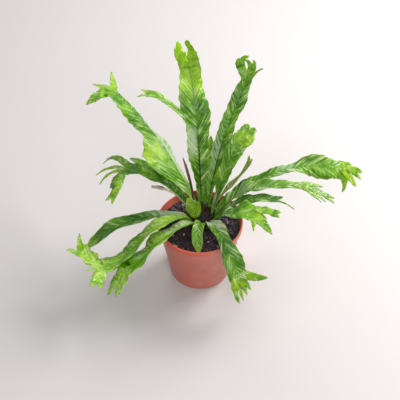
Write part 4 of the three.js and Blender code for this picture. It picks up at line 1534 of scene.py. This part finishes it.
@dataclass(frozen=True)
class PotFinish:
    """Moulded terracotta-coloured plastic: satin, a little mottled, brighter at the lip.

    Each band is where a change of colour starts and ends, in metres: up the wall, out from the axis
    or, for the painted light on the right side, across from left to right. The relief is in metres.
    """

    wall: Colour = srgb(198, 112, 92)
    lip: Colour = srgb(216, 96, 62)
    # A darker tone for the mottling, the darker foot and the painted shadow under the lip
    shade: Colour = srgb(146, 62, 46)
    inside: Colour = srgb(208, 112, 98)
    # Painted light: the right side, towards the window lamp, is lighter
    painted_light_tint: Colour = srgb(226, 160, 146)
    dust: Colour = srgb(214, 168, 150)
    lip_starts: Band = (0.089, 0.093)
    foot_ends: Band = (0.012, 0.0, 0.7)
    # Where the painted shadow under the lip's step starts and ends
    lip_shadow_starts: Band = (0.0865, 0.0905)
    lip_shadow_ends: Band = (0.0925, 0.0915, 0.6)
    inside_starts: Band = (0.0582, 0.0576, 0.75)
    painted_light_band: Band = (-0.03, 0.05, 0.35)
    clouds: Patches = Patches((30.0, 4.0), (0.3, 0.75, 0.35))
    dusty: Patches = Patches((260.0, 3.0), (0.6, 0.8, 0.2))
    fine_noise: Noise = (900.0, 2.0)
    broad_noise: Noise = (45.0, 2.0)
    broad_weight: float = 2.0
    relief: float = 0.00012
    roughness: Grain = Grain((70.0, 3.0), 0.2, 0.32)
    soft: float = 0.08
    soft_reach: float = 0.004

    def material(self, name: str) -> bpy.types.Material:
        """Makes the material: cloudy by noise, deeper low down, painted shade under the lip and painted
        light on the right side, finely scuffed.

        Args:
            name: The material's name.

        Returns:
            A satin plastic.
        """
        g = Graph(name)
        split = g.node("SeparateXYZ", Vector=g.place())
        height = split.outputs["Z"]
        colour = g.mix(g.step(height, *self.lip_starts), self.wall, self.lip)
        colour = g.mix(g.step(height, *self.foot_ends), colour, self.shade)
        # Painted shadow in the band under the lip's step
        painted_shadow_under_lip = g.times(g.step(height, *self.lip_shadow_starts), g.step(height, *self.lip_shadow_ends))
        colour = g.mix(painted_shadow_under_lip, colour, self.shade)
        across, deep = split.outputs["X"], split.outputs["Y"]
        radius = g.maths("SQRT", g.plus(g.times(across, across), g.times(deep, deep)))
        colour = g.mix(g.step(radius, *self.inside_starts), colour, self.inside)
        # Painted light: lighter towards the right, where the window lamp stands
        colour = g.mix(g.step(across, *self.painted_light_band), colour, self.painted_light_tint)
        colour = g.mix(self.clouds.over(g), colour, self.shade)
        colour = g.mix(self.dusty.over(g), colour, self.dust)
        broad = g.times(g.noise(*self.broad_noise), self.broad_weight)
        normal = g.bump(g.plus(g.noise(*self.fine_noise), broad), self.relief)
        rough = self.roughness.over(g)
        skin = g.node("BsdfPrincipled", Base_Color=colour, Roughness=rough, Normal=normal,
                      Subsurface_Weight=self.soft, Subsurface_Scale=self.soft_reach)
        return g.finish(skin.outputs[0])


@dataclass
class Pot:
    """The tapered plastic pot: a lip that steps out, a rolled rim, a foot ring and drain holes.

    Sizes are in millimetres. The pad is the round foot under the pot's middle.
    """

    height: float = 100.0
    rim_radius: float = 60.0
    base_radius: float = 42.0
    wall: float = 1.8
    lip_height: float = 8.0
    lip_step: float = 1.4
    floor_top: float = 3.4
    foot_recess: float = 1.5
    foot_inner: float = 36.0
    pad_radius: float = 12.0
    drain_count: int = 6
    drain_radius: float = 4.0
    drain_circle: float = 24.0
    drain_sides: int = 24
    drill_from: float = -2.0
    drill_to: float = 8.0
    corner: float = 0.7
    sides: int = 160

    def inner_radius(self, z: float) -> float:
        """Inner radius of the tapered wall at a height."""
        top = self.rim_radius - self.lip_step
        return self.base_radius + (top - self.base_radius) * z / self.height - self.wall

    def profile(self) -> list[tuple[float, float]]:
        """The turned outline, from the pad under the middle over the lip to the floor.

        Returns:
            Radius and height of each corner.
        """
        r, h, lip = self.rim_radius, self.height, self.height - self.lip_height
        return [
            (0, 0), (self.pad_radius, 0), (self.pad_radius + 1, self.foot_recess),
            (self.foot_inner - 1, self.foot_recess), (self.foot_inner, 0),
            (self.base_radius - 1.2, 0), (self.base_radius + 0.1, 1.2),
            (self.inner_radius(lip) + self.wall, lip), (r - 0.4, lip + 0.8),
            (r, h - 1.4), (r - 0.9, h), (r - 1.9, h), (r - 2.5, h - 1),
            (self.inner_radius(lip - 2), lip - 2),
            (self.inner_radius(self.floor_top + 2), self.floor_top + 2),
            (self.inner_radius(self.floor_top) - 2, self.floor_top), (0, self.floor_top),
        ]

    def build(self) -> bpy.types.Object:
        """Turns the pot, drills its floor and dresses it.

        Returns:
            The pot's piece.
        """
        points, faces = lathe(rounded(self.profile(), self.corner), self.sides)
        piece = make_piece("moulded_pot", points, faces, {})
        drills = [self.drill(TAU * k / self.drain_count) for k in range(self.drain_count)]
        for drill in drills:
            cut = piece.modifiers.new("drain", "BOOLEAN")
            cut.object = drill
            cut.solver = "EXACT"
        depsgraph = bpy.context.evaluated_depsgraph_get()
        done = bpy.data.meshes.new_from_object(piece.evaluated_get(depsgraph))
        piece.modifiers.clear()
        piece.data = done
        for drill in drills:
            bpy.data.objects.remove(drill)
        piece.data.materials.clear()
        piece.data.materials.append(PotFinish().material("terracotta_plastic"))
        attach(piece, "root")
        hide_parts("pot")
        return piece

    def drill(self, turn: float) -> bpy.types.Object:
        """A cutter for one drain hole: a round bar that passes through the floor.

        Args:
            turn: The hole's angle about the axis.

        Returns:
            The cutter, which is removed once the floor is drilled.
        """
        r, low, high = self.drain_radius, self.drill_from, self.drill_to
        outline = np.array([(0, low), (r, low), (r, high), (0, high)])
        points, faces = lathe(outline, self.drain_sides)
        middle = np.array([self.drain_circle * math.cos(turn), self.drain_circle * math.sin(turn), 0])
        return make_piece("drain_cutter", points + middle, faces, {})


@dataclass(frozen=True)
class MixFinish:
    """Damp bark and peat: near-black crumbs, and chips from dark brown to a pinkish grey.

    The bands are on the chip's own shade. The relief is in metres.
    """

    dark: Colour = srgb(28, 15, 30)
    brown: Colour = srgb(78, 48, 56)
    pale: Colour = srgb(190, 156, 160)
    brown_patches: Patches = Patches((140.0, 4.0), (0.42, 0.72))
    brown_chips: Band = (0.5, 0.85, 0.7)
    pale_chips: Band = (0.86, 1.0, 0.9)
    fine_noise: Noise = (700.0, 4.0)
    relief: float = 0.0006
    roughness: Grain = Grain((90.0, 2.0), 0.5, 0.22)

    def material(self, name: str) -> bpy.types.Material:
        """Makes the material, which reads the mark called chip for a chip's own shade.

        Args:
            name: The material's name.

        Returns:
            A damp dark mix with paler chips.
        """
        g = Graph(name)
        chip = g.mark("chip")
        colour = g.mix(self.brown_patches.over(g), self.dark, self.brown)
        colour = g.mix(g.step(chip, *self.brown_chips), colour, self.brown)
        colour = g.mix(g.step(chip, *self.pale_chips), colour, self.pale)
        normal = g.bump(g.noise(*self.fine_noise), self.relief)
        rough = self.roughness.over(g)
        skin = g.node("BsdfPrincipled", Base_Color=colour, Roughness=rough, Normal=normal)
        return g.finish(skin.outputs[0])


@dataclass
class PottingMix:
    """The mix that fills the pot: a lumpy top, crumbs and bark chips on it, and its hidden body.

    A chip is an outline of six corners, whose width and thickness are shares of its size. Its size
    is smallest plus a random share, cubed, of spread.
    """

    pot: Pot
    gap: float = 0.35
    top: float = 90.0
    bottom: float = 3.75
    bevel: float = 2.4
    bevel_top: float = 6.2
    lump: float = 1.1
    rings: int = 90
    sides: int = 220
    chips: int = 1500
    corners: int = 6
    smallest: float = 0.9
    spread: float = 2.6
    clear_of_wall: float = 2.5
    chip_width: float = 0.62
    chip_thickness: float = 0.28
    chip_bend: float = 0.12
    chip_taper: float = 0.85
    chip_tilt: float = 0.35
    chip_lift: float = 0.25
    draw_from: int = 7

    def reach(self, z: float) -> float:
        """How far the mix reaches from the axis at a height: to its gap from the pot's wall."""
        return self.pot.inner_radius(z) - self.gap

    def lumps(self, x: np.ndarray, y: np.ndarray) -> np.ndarray:
        """Height above the mix's level, from crossed waves of unlike lengths.

        Args:
            x: Places across.
            y: Places in depth.

        Returns:
            The height at each place.
        """
        broad = np.sin(0.31 * x + 1.3 * np.sin(0.17 * y)) * np.cos(0.27 * y + 0.8)
        small = np.sin(0.83 * x - 0.41 * y + 2) * np.sin(0.71 * y + 0.29 * x)
        return self.lump * (0.7 * broad + 0.6 * small)

    def crumbs(self, x: np.ndarray, y: np.ndarray) -> np.ndarray:
        """Finer relief than the solid's: sums of short waves that fall out of step.

        Args:
            x: Places across.
            y: Places in depth.

        Returns:
            The height at each place.
        """
        one = np.sin(1.9 * x + 1.1 * np.sin(1.3 * y)) * np.sin(2.1 * y + 0.9 * np.sin(1.7 * x))
        two = np.sin(3.7 * x - 2.9 * y + 1) * np.sin(3.1 * y + 2.3 * x + 2)
        return 0.45 * one + 0.3 * two

    def body(self) -> tuple[np.ndarray, list[np.ndarray]]:
        """The filled shape up to the wall, turned, with lumps and crumbs added to its top's height.

        Returns:
            Points and faces.
        """
        shoulder, edge = self.top - 6, self.reach(self.top - 2)
        outline = [
            (0, self.bottom), (self.reach(4.0) - self.bevel, self.bottom),
            (self.reach(6.0), self.bevel_top), (self.reach(shoulder), shoulder),
        ]
        across = [(edge * (1 - k / self.rings), self.top) for k in range(self.rings + 1)]
        points, faces = lathe(np.array(outline + across, float), self.sides)
        high = points[:, 2] > self.top - 1
        x, y = points[high, 0], points[high, 1]
        points[high, 2] = self.top + self.lumps(x, y) + self.crumbs(x, y)
        return points, faces

    def scattered(self) -> tuple[np.ndarray, list[np.ndarray], np.ndarray]:
        """Bark chips: bent six-sided slabs of many sizes that lie in the top at all angles.

        Returns:
            Points, faces and the shade of each point's chip.
        """
        draw = np.random.default_rng(self.draw_from)
        n, m = self.chips, self.corners
        radius = (self.pot.inner_radius(self.top) - self.clear_of_wall) * np.sqrt(draw.uniform(0, 1, n))
        turn = draw.uniform(0, TAU, n)
        x, y = radius * np.cos(turn), radius * np.sin(turn)
        size = self.smallest + self.spread * draw.uniform(0, 1, n) ** 3
        ring = TAU * np.arange(m) / m
        jag = draw.uniform(0.65, 1.15, (n, m))
        flat = np.stack([np.cos(ring) * jag, self.chip_width * np.sin(ring) * jag], axis=-1)
        flat = flat * size[:, None, None]
        thick = self.chip_thickness * size[:, None]
        bent = self.chip_bend * flat[..., 0] ** 2 / size[:, None]
        low = np.concatenate([flat, (bent - thick)[..., None]], axis=-1)
        high = np.concatenate([flat * self.chip_taper, (bent + thick)[..., None]], axis=-1)
        local = np.concatenate([low, high], axis=1)
        spin, tilt = draw.uniform(0, TAU, n), draw.normal(0, self.chip_tilt, n)
        c, s, ct, st = np.cos(spin), np.sin(spin), np.cos(tilt), np.sin(tilt)
        zero = np.zeros(n)
        turned = np.stack([
            np.stack([c, -s * ct, s * st], axis=-1),
            np.stack([s, c * ct, -c * st], axis=-1),
            np.stack([zero, st, ct], axis=-1),
        ], axis=1)
        z = self.top + self.lumps(x, y) + self.chip_lift
        places = np.einsum("nij,nkj->nki", turned, local) + np.stack([x, y, z], axis=-1)[:, None]
        k = np.arange(m)
        side = np.stack([k, (k + 1) % m, (k + 1) % m + m, k + m], axis=-1)
        caps = np.stack([k[::-1], k + m])
        first = 2 * m * np.arange(n)[:, None, None]
        four = (side[None] + first).reshape(-1, 4)
        six = (caps[None] + first).reshape(-1, m)
        shade = np.repeat(draw.uniform(0, 1, n), 2 * m)
        return places.reshape(-1, 3), [four, six], shade

    def build(self) -> bpy.types.Object:
        """Makes the body and its chips one piece and dresses it.

        Returns:
            The mix's piece.
        """
        points, faces = self.body()
        more, chips, shade = self.scattered()
        moved = [face + len(points) for face in chips]
        marks = {"chip": np.concatenate([np.zeros(len(points)), shade])}
        piece = make_piece("bark_and_peat", np.vstack([points, more]), faces + moved, marks)
        piece.data.materials.append(MixFinish().material("damp_mix"))
        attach(piece, "root")
        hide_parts("potting_mix")
        return piece


@dataclass(frozen=True)
class ScaleFinish:
    """The crown's papery scales: dark brown, paler and dry towards their tips.

    The band is on how near a scale's tip is. The relief is in metres.
    """

    dark: Colour = srgb(24, 16, 12)
    light: Colour = srgb(92, 70, 52)
    light_patches: Patches = Patches((300.0, 3.0), (0.4, 0.7, 0.6))
    dry_tips: Band = (0.3, 1.0, 0.6)
    fine_noise: Noise = (900.0, 3.0)
    relief: float = 0.0004
    roughness: float = 0.75

    def material(self, name: str) -> bpy.types.Material:
        """Makes the material, which reads the mark called dry for how near a scale's tip is.

        Args:
            name: The material's name.

        Returns:
            Dull brown scales.
        """
        g = Graph(name)
        dry = g.mark("dry")
        colour = g.mix(self.light_patches.over(g), self.dark, self.light)
        colour = g.mix(g.step(dry, *self.dry_tips), colour, self.light)
        normal = g.bump(g.noise(*self.fine_noise), self.relief)
        skin = g.node("BsdfPrincipled", Base_Color=colour, Roughness=self.roughness, Normal=normal)
        return g.finish(skin.outputs[0])


@dataclass
class Crown:
    """The rhizome: a dome covered in overlapping papery scales, with the stub of an old stem.

    A scale grows from a place sunk a little in the dome, leans up and out, is widest at its waist
    and curls away at its tip. Its length and width are drawn between two limits.
    """

    radius: float = 18.0
    foot: float = 78.0
    shoulder: float = 92.5
    top: float = 103.0
    stub_radius: float = 1.9
    stub_top: float = 124.0
    stub_rows: int = 20
    stub_sides: int = 20
    stub_dryness: float = 0.7
    dome_rows: int = 24
    dome_sides: int = 72
    scales: int = 900
    scale_length: tuple[float, float] = (2.2, 5.5)
    scale_width: tuple[float, float] = (0.35, 0.8)
    scale_waist: float = 0.45
    scale_root: float = 0.6
    scale_curl: float = 0.6
    hollow: float = 0.2
    upward: float = 0.85
    outward: float = 0.55
    sunk: float = 0.985
    sway: float = 0.35
    tip_sway: float = 0.5
    draw_from: int = 11

    def dome(self) -> tuple[np.ndarray, list[np.ndarray]]:
        """The dome on its round foot: a quarter ellipse, turned and roughened by crossed waves.

        Returns:
            Points and faces.
        """
        angle = np.linspace(0, math.pi / 2, self.dome_rows)
        height = self.shoulder + (self.top - self.shoulder) * np.sin(angle)
        arc = np.stack([self.radius * np.cos(angle), height], axis=-1)
        outline = np.vstack([[(0, self.foot), (self.radius, self.foot)], arc[:-1], [(0, self.top)]])
        points, faces = lathe(outline, self.dome_sides)
        x, y, z = points.T
        high = z > self.shoulder + 1
        scale = 1 + 0.05 * np.sin(0.9 * x + 0.5 * z) * np.cos(0.8 * y - 0.4 * z)
        points[high, :2] *= scale[high, None]
        points[high, 2] += 0.8 * (np.sin(0.7 * x) * np.sin(0.8 * y))[high]
        return points, faces

    def shaggy(self) -> tuple[np.ndarray, np.ndarray, np.ndarray]:
        """Scales: narrow leaf shapes of five points that lean up and out from the dome.

        Returns:
            Points, three-sided faces and how near each point is to its scale's tip.
        """
        draw = np.random.default_rng(self.draw_from)
        n = self.scales
        rise = np.arcsin(draw.uniform(0, 0.98, n))
        turn = draw.uniform(0, TAU, n)
        out = np.stack([np.cos(turn) * np.cos(rise), np.sin(turn) * np.cos(rise), np.sin(rise)], axis=-1)
        flat = np.stack([self.radius, self.radius, self.top - self.shoulder])
        base = out * flat * self.sunk + np.array([0, 0, self.shoulder])
        side = np.stack([-np.sin(turn), np.cos(turn), np.zeros(n)], axis=-1)
        lean = np.array([0.0, 0.0, self.upward]) + out * self.outward
        lean += side * draw.normal(0, self.sway, n)[:, None]
        lean /= np.linalg.norm(lean, axis=1, keepdims=True)
        length = draw.uniform(*self.scale_length, n)[:, None]
        width = draw.uniform(*self.scale_width, n)[:, None]
        root = side * width * self.scale_root
        waist = base + lean * length * self.scale_waist - np.cross(side, lean) * self.hollow
        tip_side = side * draw.normal(0, self.tip_sway, n)[:, None]
        tip = base + lean * length + out * self.scale_curl + tip_side
        corners = (base - root, base + root, waist - side * width, waist + side * width, tip)
        points = np.stack(corners, axis=1).reshape(-1, 3)
        face = np.array([[0, 1, 3], [0, 3, 2], [2, 3, 4]])
        front = (face[None] + len(corners) * np.arange(n)[:, None, None]).reshape(-1, 3)
        dry = np.tile([0.0, 0.0, self.scale_waist, self.scale_waist, 1.0], n)
        return points, front, dry

    def stub(self) -> tuple[np.ndarray, list[np.ndarray]]:
        """The papery stub of an old stem: a thin cone with ragged folds, a sine of five turns round.

        Returns:
            Points and faces.
        """
        height = np.linspace(self.shoulder, self.stub_top, self.stub_rows)
        share = (height - self.shoulder) / (self.stub_top - self.shoulder)
        radius = self.stub_radius * (1 - 0.3 * share) * (1 + 0.05 * np.sin(9 * share))
        outline = np.vstack([[(0, height[0])], np.stack([radius, height], axis=-1), [(0, height[-1])]])
        points, faces = lathe(outline, self.stub_sides)
        turn = np.arctan2(points[:, 1], points[:, 0])
        points[:, :2] *= (1 + 0.1 * np.sin(5 * turn + 0.2 * points[:, 2]))[:, None]
        points[:, 1] += 0.07 * (points[:, 2] - self.shoulder)
        return points, faces

    def build(self) -> bpy.types.Object:
        """Makes dome, scales and stub one piece and dresses it.

        Returns:
            The crown's piece.
        """
        dome, dome_faces = self.dome()
        stub, stub_faces = self.stub()
        scales, scale_faces, dry = self.shaggy()
        points = np.vstack([dome, stub, scales]) + np.array([*CROWN_MIDDLE, 0.0])
        first = len(dome)
        second = first + len(stub)
        faces = dome_faces + [face + first for face in stub_faces] + [scale_faces + second]
        stub_marks = np.full(len(stub), self.stub_dryness)
        marks = {"dry": np.concatenate([np.zeros(first), stub_marks, dry])}
        piece = make_piece("scaly_crown", points, faces, marks)
        piece.data.materials.append(ScaleFinish().material("papery_scales"))
        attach(piece, "root")
        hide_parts("crown")
        return piece


@dataclass(frozen=True)
class Lamp:
    """A square soft light that looks at the plant: its place and side in metres, and its watts."""

    name: str
    place: tuple[float, float, float]
    side: float
    power: float
    colour: Colour
    looks_at: tuple[float, float, float] = (0.0, 0.0, 0.12)

    def hang(self) -> None:
        """Puts the light up and turns it, so that its axis runs back from what it looks at."""
        light = bpy.data.lights.new(self.name, "AREA")
        light.shape = "SQUARE"
        light.size = self.side
        light.energy = self.power
        light.color = self.colour
        lamp = bpy.data.objects.new(self.name, light)
        lamp.location = self.place
        x, y, z = np.array(self.place) - np.array(self.looks_at)
        tilt, turn = math.atan2(math.hypot(x, y), z), math.atan2(y, x) + math.pi / 2
        lamp.rotation_euler = (tilt, 0.0, turn)
        bpy.context.scene.collection.objects.link(lamp)


@dataclass
class Studio:
    """A plain pale floor, soft light from the right, and the camera at the photograph's angle.

    The lens and the sensor's width are in millimetres, as is half the floor's side. The camera
    stands at eye, in metres, and looks down by pitch, in degrees.
    """

    lens: float = 85.5
    sensor: float = 36.0
    eye: tuple[float, float, float] = (0.0, -0.8914, 1.0705)
    pitch: float = 46.2
    half_floor: float = 4000.0
    floor_colour: Colour = srgb(198, 193, 191)
    room_colour: Colour = (0.95, 0.96, 1.0)
    room_strength: float = 0.46
    lamps: tuple[Lamp, ...] = (
        Lamp("window", (0.92, 0.62, 1.02), 0.7, 25.0, (1.0, 0.99, 0.975)),
        Lamp("sky", (-0.2, 1.7, 1.5), 0.9, 9.0, (0.98, 0.99, 1.0)),
        Lamp("fill", (0.3, -1.5, 1.65), 0.8, 17.0, (1.0, 1.0, 1.0)),
    )

    def build(self) -> None:
        """Makes floor, lights, surroundings and camera."""
        bpy.context.scene.view_settings.view_transform = "Standard"
        self.lay_floor()
        for lamp in self.lamps:
            lamp.hang()
        self.light_room()
        self.place_camera()

    def lay_floor(self) -> None:
        """Makes the floor, one flat square of a dull pale grey."""
        half = self.half_floor
        corners = np.array([[-half, -half, 0], [half, -half, 0], [half, half, 0], [-half, half, 0]])
        floor = make_piece("floor", corners, [np.array([[0, 1, 2, 3]])], {}, smooth=False)
        g = Graph("pale_floor")
        skin = g.node("BsdfPrincipled", Base_Color=self.floor_colour, Roughness=0.6)
        floor.data.materials.append(g.finish(skin.outputs[0]))

    def light_room(self) -> None:
        """Gives the surroundings their even light."""
        world = bpy.data.worlds.new("soft_room")
        world.use_nodes = True
        background = world.node_tree.nodes["Background"]
        background.inputs["Color"].default_value = (*self.room_colour, 1.0)
        background.inputs["Strength"].default_value = self.room_strength
        bpy.context.scene.world = world

    def place_camera(self) -> None:
        """Puts up the camera, turned down from level by its pitch."""
        view = bpy.data.cameras.new("camera")
        view.lens = self.lens
        view.sensor_width = self.sensor
        camera = bpy.data.objects.new("camera", view)
        camera.location = self.eye
        camera.rotation_euler = (math.radians(90 - self.pitch), 0.0, 0.0)
        bpy.context.scene.collection.objects.link(camera)
        bpy.context.scene.camera = camera


def main() -> None:
    """Builds the dressed part and its studio in order."""
    logging.basicConfig(level=logging.INFO, format="%(name)s: %(message)s")
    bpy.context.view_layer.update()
    pot = Pot()
    pieces = [pot.build(), PottingMix(pot).build(), Crown().build()]
    for seed, form in enumerate(FRONDS, start=1):
        pieces.append(FrondSurface(form, seed).build())
    for piece in pieces:
        log.info("%s: %d faces", piece.name, len(piece.data.polygons))
    Studio().build()


if __name__ == "__main__":
    main()
